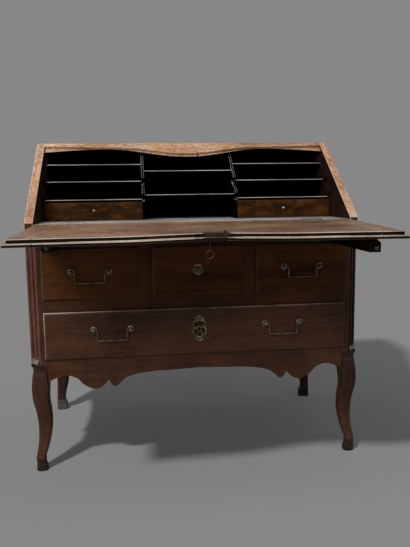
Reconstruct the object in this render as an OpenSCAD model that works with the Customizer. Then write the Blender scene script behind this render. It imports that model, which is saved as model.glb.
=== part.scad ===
// Slant-front desk on cabriole legs, built as separate joined pieces.
// The front faces -Y, +X is the right-hand side seen from the front and +Z is up.
// Every module is drawn with y = 0 on the front of the case, then placed so that
// the origin lies on the floor under the middle of the whole desk with its fall open.

/* [Case] */
// Width over the corner posts
case_w = 1050; // [980:5:1120]
// Depth of the case behind its front rails
case_d = 580; // [560:5:640]
// Height of the top of the desk
top_z = 1046; // [1040:1:1060]
// Height of the lower case, where the posts end
lower_z = 755; // [750:1:760]
// Thickness of the fixed writing bed on the lower case
bed_t = 24; // [22:1:28]
// Thickness of the top board
top_t = 20; // [16:1:24]
// Thickness of the slanted cheeks
cheek_t = 27; // [22:1:32]
// Step from the post's outer face back to the cheek's
cheek_inset = 3; // [1:1:6]
// Thickness of the lower side panels
side_t = 18; // [14:1:22]
// Step from the post's outer face back to the side panel's
side_inset = 4; // [2:1:8]
// Thickness of the back boards
back_t = 12; // [9:1:16]
// Width of a corner post
post_w = 55; // [50:1:62]
// Depth of a corner post
post_d = 62; // [56:1:70]
// Width of the canted corner, measured along the front
cant_w = 35; // [28:1:40]
// Radius of a flute in the canted corner
flute_r = 6; // [4:0.5:8]
// Thickness of the front rails, muntins and apron
rail_y = 22; // [18:1:26]
// Depth of the rail that carries the bed
loper_rail_y = 42; // [38:1:50]
// Thickness of the boards between and under the drawers
dust_t = 12; // [9:1:14]

/* [Slant] */
// Angle of the slant above the horizontal
slant = 38; // [36:0.5:40]
// Height of the foot of the slanted edge above the writing bed
slant_foot_h = 7; // [6:0.5:10]
// Distance of the cheek's front face behind the rails' front
cheek_y = 14; // [12:1:16]
// Thickness of the serpentine rail behind the closed fall
top_rail_t = 20; // [16:1:24]
// Depth of the serpentine rail in the middle, along the slant
rail_mid = 81; // [74:1:90]
// Depth of the serpentine rail at its crests, along the slant
rail_crest = 34; // [31:1:40]
// Depth of the serpentine rail at its ends, along the slant
rail_end = 52; // [46:1:60]
// Distance of each crest from the cheek
crest_side = 215; // [190:1:235]

/* [Fall] */
// Angle by which the open fall droops at the front
droop = 2; // [0:0.5:2.5]
// Thickness of the part of the fall that closes between the cheeks
rebate_t = 11; // [10:0.5:14]
// Thickness of the overlapping lip
lip_t = 8; // [7:0.5:10]
// How far the lip reaches past the rebate at each side
lip_side = 9.5; // [8:0.5:12]
// How far the lip reaches past the rebate at the front
lip_top = 10; // [8:1:12]
// Depth of rail left bare above the closed fall in the middle, along the slant
bare_mid = 65; // [60:1:70]
// Depth of rail left bare above the closed fall at its crests, along the slant
bare_crest = 27; // [25:1:30]
// Depth of rail left bare above the closed fall at its ends, along the slant
bare_end = 18; // [14:1:22]
// Distance of each crest of the fall's edge from the cheek
bare_side = 245; // [200:5:280]
// Gap between the closed fall and what it closes between
fall_gap = 2.5; // [2:0.5:3.5]
// Width of each end cleat
cleat_w = 60; // [50:1:80]
// Distance from the pivot at which the lip starts at the sides
lip_heel = 12; // [11:1:16]

/* [Drawers] */
// Height of the long drawer's opening above the floor
apron_z = 370; // [360:1:380]
// Height of the long drawer's opening
long_h = 136; // [130:1:142]
// Height of the rail between the two rows
mid_rail_h = 51.5; // [44:0.5:58]
// Height of the upper row's openings
upper_h = 141; // [130:1:142]
// Width of the middle drawer's opening
centre_w = 270; // [240:2:300]
// Width of each muntin beside the middle drawer
muntin_w = 56.5; // [48:0.5:64]
// How far a drawer's lip covers the case round its opening
lip_over = 6; // [4:0.5:7]
// Thickness of a drawer front in front of the case
front_proj = 8; // [6:0.5:10]
// Width of the moulded edge round a drawer front
bead_w = 6; // [4:0.5:8]
// Height of the raised field inside the moulded edge
bead_h = 2.5; // [1.5:0.5:3.5]
// Thickness of a drawer front behind the lip
front_t = 14; // [12:1:18]
// Thickness of a drawer's sides and back
box_t = 12; // [9:1:14]
// Thickness of a drawer's bottom
bottom_t = 8; // [6:1:10]
// Space left behind a closed drawer
drawer_back = 28; // [20:1:60]

/* [Lopers] */
// Wood between a loper and the corner post
loper_side = 14; // [12:1:30]
// Width of a loper
loper_w = 32; // [28:1:34]
// Space left behind a closed loper
loper_back = 23; // [15:1:50]
// Thickness of the sill under a loper
loper_sill = 6.5; // [5:0.5:8]
// Length of the slope at a loper's front end
loper_step_l = 66; // [50:1:80]
// Depth of the slope at a loper's front end
loper_step_h = 19; // [14:1:22]
// How far the right loper is drawn out
right_out = 320; // [280:5:330]
// How far the left loper is drawn out
left_out = 100; // [60:5:140]
// Radius of a loper's knob
loper_knob_r = 6; // [5:0.5:8]

/* [Pigeonholes] */
// Distance of the small drawers' fronts behind the rails' front
unit_y = 205; // [190:1:215]
// Thickness of the upright boards
unit_t = 8; // [6:0.5:10]
// Thickness of the shelves
shelf_t = 7; // [5:0.5:8]
// Distance of each divider from the middle
divider_x = 159; // [140:1:175]
// Height of the small drawers' compartment above the bed
small_h = 64.5; // [60:0.5:68]
// Height of a small drawer's front
small_front_h = 61.7; // [54:0.1:62]
// Length of a small drawer
small_l = 300; // [240:5:330]
// Space between the unit's own top and the desk's top
unit_head = 36; // [32:0.5:40]
// Part that the lowest open bay at each side takes of the height above the small drawer
low_part = 54.5; // [50:0.5:58]
// Part that the middle open bay at each side takes of that height
mid_part = 52; // [48:0.5:56]
// Part that the highest open bay at each side takes of that height
high_part = 39; // [35:0.5:43]
// Part that the middle bay's lowest space takes of the unit's height
niche_part = 78.5; // [74:0.5:84]
// Part that the middle bay's middle space takes of that height
niche_mid_part = 76; // [70:0.5:82]
// Part that the middle bay's highest space takes of that height
niche_top_part = 62.5; // [56:0.5:68]

/* [Legs and apron] */
// Height at which the carved leg becomes the fluted post
leg_h = 345; // [335:1:355]
// Height of the lowest point at which the apron meets the leg
shoulder_z = 282; // [276:1:290]
// Depth of the apron in the middle
apron_mid = 54; // [46:1:62]
// Depth of the apron's large lobes
apron_lobe = 107; // [96:1:116]
// Distance of each cusp of the apron from the corner post
cusp_side = 185; // [180:1:200]

/* [Handles and locks] */
// Distance between the two posts of a bail handle
bail_w = 112; // [100:1:124]
// Drop of a bail below its pivot
bail_drop = 32.5; // [26:0.5:40]
// Radius of a bail's wire
bail_r = 2; // [1.5:0.25:2.5]
// How far a bail's arms stand inside its posts
bail_step = 11; // [10:0.5:13]
// Distance of a bail's pivot in front of the drawer
bail_y = 12; // [10:0.5:16]
// Radius of a bail post's head
post_r = 6; // [5:0.5:7]
// Height of the side drawers' handles above their opening
upper_bail_h = 76.5; // [66:0.5:85]
// Distance of the long drawer's handles from its ends
long_bail_side = 201; // [160:1:230]
// Height of the long drawer's handles above its opening
long_bail_h = 83; // [70:1:90]
// Height of the middle drawer's escutcheon
small_plate_h = 37; // [32:1:46]
// Width of the middle drawer's escutcheon
small_plate_w = 33; // [24:1:40]
// Height of the long drawer's escutcheon
large_plate_h = 86; // [76:1:96]
// Width of the long drawer's escutcheon
large_plate_w = 46.5; // [38:0.5:56]
// Radius of a small drawer's knob
knob_r = 5; // [4:0.5:7]
// Distance of each hinge from the fall's side
hinge_side = 121; // [90:1:160]
// Length of each hinge
hinge_l = 64; // [54:1:76]
// Radius of a hinge's pin
pin_r = 1.8; // [1.5:0.1:2.2]
// Radius of a hinge's knuckle
knuckle_r = 4.2; // [3.6:0.1:5]
// Width of each hinge leaf
leaf_l = 28; // [22:1:36]
// Thickness of each hinge leaf
leaf_t = 1.6; // [1.2:0.1:2.2]
// Length of the key below the fall
key_drop = 51; // [44:1:54]
// Outer radius of the key's ring
key_ring_r = 12; // [10:0.5:13]
// How far the lock's bolt travels
bolt_throw = 12; // [10:0.5:13]

/* [Clearances] */
// Running gap under and between sliding pieces
run = 0.3; // [0.2:0.05:0.5]
// Gap at each side of a drawer
side_gap = 1; // [0.6:0.1:1.5]
// Gap above a drawer
head_gap = 1.2; // [0.8:0.1:2]
// Radial gap of a pin in its bore
fit = 0.05; // [0.02:0.01:0.08]

/* [Hidden] */

e = 0.01;
round_fn = 48;
half_w = case_w / 2;
open_x = half_w - post_w;
cheek_in = half_w - cheek_inset - cheek_t;
side_in = half_w - side_inset - side_t;
back_y = case_d - back_t;
rebate_x = open_x + 15;
crest_x = cheek_in - crest_side;
drawer_l = back_y - drawer_back;
loper_l = back_y - loper_back;
loper_x = open_x - loper_side - loper_w / 2;

// Heights of the rows
long_top = apron_z + long_h;
upper_z = long_top + mid_rail_h;
upper_top = upper_z + upper_h;
bed_z = lower_z + bed_t;

// The slant plane runs from its foot to the desk's top
foot_z = bed_z + slant_foot_h;
slant_l = (top_z - foot_z) / sin(slant);
slant_top_y = cheek_y + slant_l * cos(slant);

// The fall turns about a line on the bed's front edge, level with the bed
close_gap = 0.3;
joint_gap = 0.5;
rail_back = (rebate_t + top_rail_t) / sin(slant);
pivot_y = cheek_y + (rebate_t - close_gap - slant_foot_h * cos(slant)) / sin(slant);
pivot_s = (pivot_y - cheek_y) * cos(slant) - slant_foot_h * sin(slant);
fall_t = rebate_t + lip_t;
fall_in = cheek_in - fall_gap;
hinge_x = fall_in - hinge_side;
lip_x = fall_in + lip_side;
fall_len = slant_l - bare_end + lip_top - pivot_s;

// Depth of the serpentine rail at a distance x from the middle
function wave(x) = abs(x) < crest_x
    ? rail_mid + (rail_crest - rail_mid) * (1 - cos(180 * x / crest_x)) / 2
    : rail_crest + (rail_end - rail_crest) * (1 - cos(90 * (abs(x) - crest_x) / (cheek_in - crest_x)));
fall_crest_x = cheek_in - bare_side;
fall_tail = fall_in - fall_crest_x;
// Depth of rail that the closed fall leaves bare at a distance x from the middle
function bare(x) = abs(x) < fall_crest_x
    ? bare_mid + (bare_crest - bare_mid) * (1 - cos(180 * x / fall_crest_x)) / 2
    : bare_crest + (bare_end - bare_crest) * (1 - cos(90 * (abs(x) - fall_crest_x) / fall_tail));
function edge_t(x) = slant_l - bare(x) - pivot_s;

front_y = pivot_y - fall_len * cos(droop) + rebate_t * sin(droop);
mid_y = (front_y + case_d) / 2;

// Lopers stand just under the drooping fall
loper_z = upper_top + loper_sill + run;
step_y = right_out - loper_step_l;
loper_top = bed_z - (pivot_y + step_y) * tan(droop) - fall_t / cos(droop) - run;

// Drawer fronts
face_y = -front_proj - run;
left_x0 = -open_x;
left_x1 = -centre_w / 2 - muntin_w;
upper_bail_x = -(left_x0 + left_x1) / 2;
long_bail_x = open_x - long_bail_side;

// Heights in the pigeonhole unit above the bed
unit_h = top_z - bed_z - unit_head;
bay_share = (unit_h - small_h - 3 * shelf_t) / (low_part + mid_part + high_part);
mid_shelf_h = small_h + shelf_t + low_part * bay_share;
top_shelf_h = mid_shelf_h + shelf_t + mid_part * bay_share;
niche_share = (unit_h - 2 * shelf_t) / (niche_part + niche_mid_part + niche_top_part);
niche_h = niche_part * niche_share;
niche_top_h = niche_h + shelf_t + niche_mid_part * niche_share;

// Side bays of the pigeonholes
bay_x0 = divider_x + unit_t / 2;
bay_x1 = cheek_in - unit_t;

bail_arm = bail_w / 2 - bail_step;
bend_r = 5;
lock_x0 = -18;
lock_x1 = 50;
lock_l = 34;
lock_t = 9.5;
lock_edge = edge_t(0) - 2.5;
key_t = lock_edge - 16;
key_r = 2.6;
bolt_x0 = 36;
bolt_w = 4;
bolt_t = 4;
bolt_z = -7;
bolt_l = 20;
hook_in = 2;
hook_l = 4;
hook_h = 6.5;
toe_l = 5;
toe_t = 3.5;

function catmull(a, b, c, d, t) = 0.5 * (2 * b + (c - a) * t + (2 * a - 5 * b + 4 * c - d) * t * t
    + (3 * b - a - 3 * c + d) * t * t * t);
function spline(p, n) = concat([for (i = [0:len(p) - 2]) for (k = [0:n - 1])
    catmull(p[max(i - 1, 0)], p[i], p[i + 1], p[min(i + 2, len(p) - 1)], k / n)], [p[len(p) - 1]]);
function mirrored(p) = [for (i = [len(p) - 1:-1:0]) [-p[i][0], p[i][1]]];

module place() translate([0, -mid_y, 0]) children();
module yz_board(x0, x1) translate([x0, 0, 0]) rotate([90, 0, 90]) linear_extrude(x1 - x0) children();
module xz_board(y0, y1) translate([0, y1, 0]) rotate([90, 0, 0]) linear_extrude(y1 - y0) children();
module box(a, b) translate(a) cube(b - a);
module both() {
    children();
    mirror([1, 0, 0]) children();
}
module on_fall() translate([0, pivot_y, bed_z]) rotate([droop, 0, 0]) children();
// Frame on the slant: y runs up the slant from its top end, z runs into the desk
module on_slant() translate([0, slant_top_y, top_z]) rotate([slant, 0, 0]) mirror([0, 0, 1]) children();

// A solid lofted through rings of equal count, lowest ring first
module loft(rings) {
    n = len(rings[0]);
    m = len(rings);
    sides = [for (i = [0:m - 2]) for (j = [0:n - 1]) for (k = [0:1])
        k == 0 ? [i * n + j, (i + 1) * n + j, (i + 1) * n + (j + 1) % n]
               : [i * n + j, (i + 1) * n + (j + 1) % n, i * n + (j + 1) % n]];
    caps = [[for (j = [0:n - 1]) j], [for (j = [n - 1:-1:0]) (m - 1) * n + j]];
    polyhedron([for (r = rings) for (p = r) p], concat(sides, caps), convexity = 6);
}
function sq(v, k) = sign(v) * pow(abs(v), k);
function leg_ring(r, n) = [for (j = [0:n - 1]) let (a = 360 * j / n)
    [r[1] + r[3] * sq(cos(a), 0.62), r[2] + r[4] * sq(sin(a), 0.62), r[0] * leg_h]];

// Each row gives height as a share of leg_h, the centre's x and y from the post's
// outer corner, and the half widths along x and y
front_leg_rows = [[0, 20, 20, 16.5, 16.5], [0.055, 20.5, 20.5, 18, 18], [0.105, 18.5, 18.5, 17.5, 17.5],
    [0.125, 18.5, 18.5, 15.3, 15.3], [0.175, 22.5, 22.5, 16.2, 16.2], [0.26, 29, 29, 18, 18],
    [0.36, 33.5, 33.5, 20.5, 20.5], [0.46, 34.5, 34.5, 22.5, 22.5], [0.56, 32, 32, 24, 24],
    [0.68, 26.5, 26.5, 26, 26], [0.8, 27, 27, 27.3, 27.3], [0.89, 28.5, 28.5, 25.5, 25.5],
    [0.95, 30, 30, 23.5, 23.5], [1, 28, 31, 27.5, 29]];
rear_leg_rows = [[0, 18.5, 20, 22.5, 20], [0.055, 18.5, 20, 21.5, 19], [0.105, 17, 22, 19, 20],
    [0.125, 15.5, 22, 16.5, 17], [0.2, 18, 26, 17.5, 18], [0.36, 26, 31, 22.5, 22],
    [0.56, 28, 31, 25, 25], [0.8, 28, 31, 26, 28], [1, 28, 31, 26, 29]];

module leg(rows, cut_d) {
    difference() {
        loft([for (r = spline(rows, 3)) leg_ring(r, 20)]);
        box([post_w, -5, shoulder_z], [post_w + 20, cut_d + 20, leg_h + 1]);
        box([-5, cut_d, shoulder_z], [post_w + 20, cut_d + 20, leg_h + 1]);
    }
    box([post_w - 26, 6, shoulder_z], [post_w, cut_d, leg_h + 1]);
    box([7, cut_d - 26, shoulder_z], [post_w, cut_d, leg_h + 1]);
}

// Front post drawn with its outer corner at the origin and its body towards +x and +y
module front_post() {
    leg(front_leg_rows, post_d);
    difference() {
        translate([0, 0, leg_h]) linear_extrude(lower_z - leg_h)
            polygon([[cant_w, 0], [post_w, 0], [post_w, post_d], [0, post_d], [0, cant_w]]);
        for (k = [0.3, 0.7]) translate([cant_w * k, cant_w * (1 - k), leg_h + 8]) {
            cylinder(r = flute_r, h = lower_z, $fn = round_fn);
            sphere(r = flute_r, $fn = round_fn);
        }
    }
}
module rear_post() difference() {
    union() {
        leg(rear_leg_rows, post_w);
        translate([0, 0, leg_h - e]) cube([post_w, post_w, lower_z - leg_h + e]);
    }
    box([post_w - (rebate_x - open_x), -1, leg_h], [post_w + 1, back_t, lower_z + 1]);
}
module front_left_post() color("#4a2c20") place() translate([-half_w, 0, 0]) front_post();
module front_right_post() color("#4a2c20") place() mirror([1, 0, 0])
    translate([-half_w, 0, 0]) front_post();
module rear_left_post() color("#42271c") place() translate([-half_w, case_d, 0])
    mirror([0, 1, 0]) rear_post();
module rear_right_post() color("#42271c") place() mirror([1, 0, 0])
    translate([-half_w, case_d, 0]) mirror([0, 1, 0]) rear_post();

// Sides
module side_panel() yz_board(side_in, side_in + side_t) {
    y0 = post_d;
    y1 = case_d - post_w;
    low = spline([[y0, shoulder_z + 4], [y0 + 40, shoulder_z + 26], [y0 + 82, shoulder_z + 2],
        [y0 + 122, shoulder_z + 24], [(y0 + y1) / 2, shoulder_z + 34], [y1 - 122, shoulder_z + 24],
        [y1 - 82, shoulder_z + 2], [y1 - 40, shoulder_z + 26], [y1, shoulder_z + 4]], 6);
    polygon(concat(low, [[y1, lower_z], [y0, lower_z]]));
}
module right_side_panel() color("#4b2e20") place() side_panel();
module left_side_panel() color("#4b2e20") place() mirror([1, 0, 0]) side_panel();
module cheek() yz_board(cheek_in, cheek_in + cheek_t)
    polygon([[cheek_y, lower_z], [cheek_y, foot_z], [slant_top_y, top_z], [case_d, top_z],
        [case_d, lower_z]]);
module right_cheek() color("#8a5a3c") place() cheek();
module left_cheek() color("#8a5a3c") place() mirror([1, 0, 0]) cheek();

// Top board and the serpentine rail that carries its front edge
module top_board() color("#5a3726") place() yz_board(-cheek_in, cheek_in)
    let (y = slant_top_y + rail_back)
        polygon([[y, top_z], [case_d, top_z], [case_d, top_z - top_t],
            [y - top_t / tan(slant), top_z - top_t]]);
module top_rail() color("#8a5a3c") place() difference() {
    intersection() {
        yz_board(-cheek_in, cheek_in)
            polygon([[cheek_y, foot_z], [slant_top_y, top_z], [slant_top_y + rail_back, top_z],
                [cheek_y + rail_back, foot_z]]);
        xz_board(0, case_d) polygon(concat(
            [for (i = [-24:24]) let (x = cheek_in * i / 24)
                [x, foot_z + (slant_l - wave(x)) * sin(slant)]],
            [[cheek_in, top_z], [-cheek_in, top_z]]));
    }
    on_slant() translate([0, 0, -1]) linear_extrude(rebate_t + 1) polygon(concat(
        [for (i = [-24:24]) let (x = (cheek_in + 1) * i / 24) [x, fall_gap - bare(min(abs(x), fall_in))]],
        [[cheek_in + 1, -slant_l], [-cheek_in - 1, -slant_l]]));
    on_slant() let (d = rebate_t - close_gap + hook_h, s = lock_edge - hook_in + pivot_s - slant_l) {
        box([bolt_x0 - 1, s - hook_l - 1, 0], [bolt_x0 + bolt_w + 1, s + bolt_throw + 1, d + 0.8]);
        box([bolt_x0 - 1, s, d - toe_t - 0.8],
            [bolt_x0 + bolt_w + 1, s + toe_l + bolt_throw + 1, d + 0.8]);
    }
}

// Back, bed and inner boards
module upper_back() color("#3b2418") place()
    box([-cheek_in, back_y, lower_z], [cheek_in, case_d, top_z - top_t]);
module lower_back() color("#3b2418") place()
    box([-rebate_x, back_y, leg_h], [rebate_x, case_d, lower_z]);
module writing_bed() color("#6d4a35") place() difference() {
    box([-cheek_in, pivot_y + joint_gap, lower_z], [cheek_in, back_y, bed_z]);
    both() translate([hinge_x - hinge_l / 2, pivot_y, bed_z - leaf_t]) cube([hinge_l, leaf_l, leaf_t + 1]);
    both() translate([hinge_x - hinge_l / 2 - 1, pivot_y, bed_z]) rotate([0, 90, 0])
        cylinder(r = knuckle_r + 0.4, h = hinge_l + 2, $fn = round_fn);
}
module loper_rail() color("#3f261b") place() difference() {
    box([-open_x, 0, upper_top], [open_x, loper_rail_y, lower_z]);
    both() box([loper_x - loper_w / 2 - run, -1, loper_z - run],
        [loper_x + loper_w / 2 + run, loper_rail_y + 1, loper_top + run]);
}
module mid_rail() color("#3f261b") place() box([-open_x, 0, long_top], [open_x, rail_y, upper_z]);
module muntins() color("#3f261b") place() both()
    box([centre_w / 2, 0, upper_z], [centre_w / 2 + muntin_w, rail_y, upper_top]);
module front_apron() color("#452a1d") place() xz_board(0, rail_y) {
    mid = apron_z - apron_mid;
    lobe = apron_z - apron_lobe;
    wing = spline([[0, shoulder_z], [4, shoulder_z + 11], [14, lobe + 36], [32, lobe + 43], [59, lobe + 47],
        [88, lobe + 36], [108, lobe + 15], [139, lobe], [166, lobe + 8], [cusp_side, lobe + 27]], 5);
    drop = spline([[cusp_side, lobe + 27], [cusp_side + 9, lobe + 11], [cusp_side + 22, lobe + 5],
        [cusp_side + 33, lobe + 14], [cusp_side + 53, mid - 22], [cusp_side + 89, mid - 11],
        [cusp_side + 137, mid - 5], [cusp_side + 195, mid - 3], [open_x, mid]], 5);
    run_in = concat(wing, [for (i = [1:len(drop) - 1]) drop[i]]);
    half = [for (p = run_in) [open_x - p[0], p[1]]];
    polygon(concat([[open_x, apron_z]], half, [for (i = [1:len(half) - 1]) mirrored(half)[i]],
        [[-open_x, apron_z]]));
}
module upper_dust_board() color("#5c4332") place()
    box([-open_x, rail_y, upper_z - dust_t], [open_x, back_y, upper_z]);
module case_bottom() color("#5c4332") place()
    box([-open_x, rail_y, apron_z - dust_t], [open_x, back_y, apron_z]);
module drawer_guides() color("#5c4332") place() both() {
    box([centre_w / 2, rail_y, upper_z], [centre_w / 2 + muntin_w, back_y, upper_z + 20]);
    for (z = [upper_z, apron_z]) box([open_x, post_d, z - dust_t], [side_in, case_d - post_w, z + 24]);
}
module loper_channels() color("#5c4332") place() both() difference() {
    box([loper_x - loper_w / 2 - 9, loper_rail_y, upper_top + 0.5],
        [loper_x + loper_w / 2 + 9, back_y, lower_z]);
    box([loper_x - loper_w / 2 - run, loper_rail_y - 1, loper_z - run],
        [loper_x + loper_w / 2 + run, back_y - 2, loper_top + run]);
}

// Pigeonhole unit. The upright boards have two scallops above the small drawers
module upright() {
    top_y = slant_top_y - unit_head / tan(slant) + rail_back + 2;
    low_z = small_h + shelf_t;
    high_z = mid_shelf_h + shelf_t - 3;
    low = spline([for (p = [[17, 0], [3, 0.14], [-6, 0.32], [8, 0.61], [48, 0.87], [65, 1]])
        [unit_y + p[0], low_z + p[1] * (mid_shelf_h - 5 - low_z)]], 5);
    high = spline([for (p = [[67, 0], [42, 0.07], [34, 0.2], [44, 0.4], [72, 0.67], [96, 1]])
        [unit_y + p[0], high_z + p[1] * (top_shelf_h - high_z)]], 5);
    translate([0, bed_z]) polygon(concat([[back_y, 0], [unit_y, 0], [unit_y, small_h]], low, high,
        [[unit_y + 101, top_shelf_h + shelf_t + 3], [top_y, unit_h], [back_y, unit_h]]));
}
module unit_sides() color("#241710") place() both() yz_board(bay_x1, cheek_in) upright();
module unit_dividers() color("#2c1c13") place() both()
    yz_board(divider_x - unit_t / 2, divider_x + unit_t / 2) upright();
module unit_top() color("#2c1c13") place() let (h = bed_z + unit_h)
    box([-cheek_in, slant_top_y - (unit_head - unit_t) / tan(slant) + rail_back + 1, h],
        [cheek_in, back_y, h + unit_t]);
module shelf(x0, x1, y, h) box([x0, y, bed_z + h], [x1, back_y, bed_z + h + shelf_t]);
module bay_shelves() color("#2c1c13") place() both() {
    shelf(bay_x0, bay_x1, unit_y + 7, small_h);
    shelf(bay_x0, bay_x1, unit_y + 60, mid_shelf_h);
    shelf(bay_x0, bay_x1, unit_y + 95, top_shelf_h);
}
module centre_shelves() color("#2c1c13") place() let (w = divider_x - unit_t / 2) {
    shelf(-w, w, unit_y + 6, niche_h);
    shelf(-w, w, unit_y + 82, niche_top_h);
}

// Small drawers
small_x0 = bay_x0 + side_gap;
small_x1 = bay_x1 - side_gap;
module small_front() box([small_x0, unit_y, bed_z + run], [small_x1, unit_y + 10, bed_z + small_front_h]);
module small_box() difference() {
    box([small_x0, unit_y + 10, bed_z + run], [small_x1, unit_y + small_l, bed_z + small_front_h - 4]);
    box([small_x0 + 6, unit_y + 9, bed_z + run + 5],
        [small_x1 - 6, unit_y + small_l - 6, bed_z + small_front_h]);
}
// A turned knob on the y axis with its foot at the origin, pointing towards -y
module turned_knob(r) rotate([90, 0, 0]) rotate_extrude($fn = round_fn)
    polygon(concat([[0, 0], [r * 0.6, 0]], spline([[r * 0.6, 0], [r * 0.4, r * 0.5], [r * 0.95, r * 1.1],
        [r, r * 1.5], [r * 0.75, r * 1.95], [0, r * 2.1]], 4)));
module small_knob() translate([(small_x0 + small_x1) / 2, unit_y, bed_z + small_front_h / 2 + 3])
    turned_knob(knob_r);
module right_small_front() color("#5a3a22") place() small_front();
module right_small_box() color("#6a4b33") place() small_box();
module right_small_knob() color("#c9b37e") place() small_knob();
module left_small_front() color("#5a3a22") place() mirror([1, 0, 0]) small_front();
module left_small_box() color("#6a4b33") place() mirror([1, 0, 0]) small_box();
module left_small_knob() color("#c9b37e") place() mirror([1, 0, 0]) small_knob();

// Main drawers, given by their opening
module drawer_front(x0, x1, z0, z1, hole_x) difference() {
    union() {
        box([x0 - lip_over, face_y + bead_h, z0 - lip_over], [x1 + lip_over, -run, z1 + lip_over]);
        box([x0 - lip_over + bead_w, face_y, z0 - lip_over + bead_w],
            [x1 + lip_over - bead_w, -run, z1 + lip_over - bead_w]);
        box([x0 + side_gap, -run - e, z0 + run], [x1 - side_gap, front_t, z1 - head_gap]);
    }
    if (hole_x != undef) {
        translate([hole_x[0], 0, hole_x[1]]) keyhole(front_proj + 12);
        box([hole_x[0] - 30, front_t - 5, hole_x[1] - 22], [hole_x[0] + 30, front_t + 1, hole_x[1] + 34]);
    }
}
module drawer_box(x0, x1, z0, z1) difference() {
    box([x0 + side_gap, front_t, z0 + run], [x1 - side_gap, drawer_l, z1 - head_gap]);
    box([x0 + side_gap + box_t, front_t - 1, z0 + run + bottom_t],
        [x1 - side_gap - box_t, drawer_l - box_t, z1]);
}
module keyhole(l) rotate([90, 0, 0]) translate([0, 0, -l]) {
    cylinder(r = 2.6, h = 2 * l, $fn = round_fn);
    translate([-1.4, -8, 0]) cube([2.8, 8, 2 * l]);
}
centre_key = [0, upper_z + upper_h * 0.53];
long_key = [2, apron_z + long_h * 0.55];
module left_drawer_front() color("#33201a") place() drawer_front(left_x0, left_x1, upper_z, upper_top);
module left_drawer_box() color("#6a4b33") place() drawer_box(left_x0, left_x1, upper_z, upper_top);
module right_drawer_front() color("#33201a") place() drawer_front(-left_x1, -left_x0, upper_z, upper_top);
module right_drawer_box() color("#6a4b33") place() drawer_box(-left_x1, -left_x0, upper_z, upper_top);
module centre_drawer_front() color("#33201a") place()
    drawer_front(-centre_w / 2, centre_w / 2, upper_z, upper_top, centre_key);
module centre_drawer_box() color("#6a4b33") place()
    drawer_box(-centre_w / 2, centre_w / 2, upper_z, upper_top);
module long_drawer_front() color("#33201a") place()
    drawer_front(-open_x, open_x, apron_z, long_top, long_key);
module long_drawer_box() color("#6a4b33") place() drawer_box(-open_x, open_x, apron_z, long_top);

// Lock set of a drawer: the pierced plate outside and the lock case inside
module plate_outline(h, w) {
    right = spline([[0, 0.5], [0.07, 0.44], [0.15, 0.43], [0.12, 0.33], [0.22, 0.25], [0.27, 0.12],
        [0.2, 0.02], [0.25, -0.12], [0.24, -0.24], [0.13, -0.3], [0.14, -0.4], [0.07, -0.43], [0, -0.5]], 3);
    scale([w / 0.54, h]) polygon(concat(right, [for (i = [1:len(right) - 2]) mirrored(right)[i]]));
}
module lock_set(at, h, w) translate([at[0], 0, at[1]]) {
    difference() {
        xz_board(face_y - 1.6, face_y) plate_outline(h, w);
        keyhole(20);
        for (s = [-1, 1]) translate([s * w * 0.26, 0, -h * 0.17]) rotate([90, 0, 0])
            cylinder(r = h * 0.045, h = 30, $fn = 24);
    }
    difference() {
        box([-30, front_t - 5, -22], [30, front_t - 0.5, 34]);
        keyhole(20);
    }
}
module centre_drawer_lock() color("#7d6a45") place() lock_set(centre_key, small_plate_h, small_plate_w);
module long_drawer_lock() color("#8a7a4e") place() lock_set(long_key, large_plate_h, large_plate_w);

// Bail handle: its middle lies on the pivot line at the origin
module bail_ends() both() translate([bail_w / 2, 0, 0]) {
    difference() {
        union() {
            rotate([-90, 0, 0]) cylinder(r = post_r * 0.6, h = bail_y, $fn = round_fn);
            sphere(r = post_r, $fn = round_fn);
            translate([0, bail_y - 2, 0]) rotate([-90, 0, 0])
                cylinder(r = post_r * 1.45, h = 2, $fn = round_fn);
        }
        translate([-post_r - 1, 0, 0]) rotate([0, 90, 0])
            cylinder(r = bail_r + fit, h = post_r + 2, $fn = round_fn);
    }
}
module bail() {
    both() {
        translate([bail_arm + bend_r, 0, 0]) rotate([0, 90, 0])
            cylinder(r = bail_r, h = bail_step - bend_r + 0.5, $fn = round_fn);
        translate([bail_arm + bend_r, 0, -bend_r]) rotate([90, 0, 0]) rotate([0, 0, 90])
            rotate_extrude(angle = 90, $fn = round_fn) translate([bend_r, 0]) circle(r = bail_r, $fn = 24);
        translate([bail_arm, 0, -bail_drop + bend_r])
            cylinder(r = bail_r, h = bail_drop - 2 * bend_r, $fn = round_fn);
        translate([bail_arm - bend_r, 0, -bail_drop + bend_r]) rotate([90, 0, 0]) rotate([0, 0, -90])
            rotate_extrude(angle = 90, $fn = round_fn) translate([bend_r, 0]) circle(r = bail_r, $fn = 24);
    }
    translate([-bail_arm + bend_r, 0, -bail_drop]) rotate([0, 90, 0])
        cylinder(r = bail_r, h = 2 * (bail_arm - bend_r), $fn = round_fn);
}
module at_bail(x, z) translate([x, face_y - bail_y, z]) children();
upper_bail_z = upper_z + upper_bail_h;
long_bail_z = apron_z + long_bail_h;
module left_bail_posts() color("#5b4a33") place() at_bail(-upper_bail_x, upper_bail_z) bail_ends();
module left_bail() color("#4d3f2c") place() at_bail(-upper_bail_x, upper_bail_z) bail();
module right_bail_posts() color("#5b4a33") place() at_bail(upper_bail_x, upper_bail_z) bail_ends();
module right_bail() color("#4d3f2c") place() at_bail(upper_bail_x, upper_bail_z) bail();
module long_bail_posts() color("#5b4a33") place() both() at_bail(long_bail_x, long_bail_z) bail_ends();
module long_left_bail() color("#4d3f2c") place() at_bail(-long_bail_x, long_bail_z) bail();
module long_right_bail() color("#4d3f2c") place() at_bail(long_bail_x, long_bail_z) bail();

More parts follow.
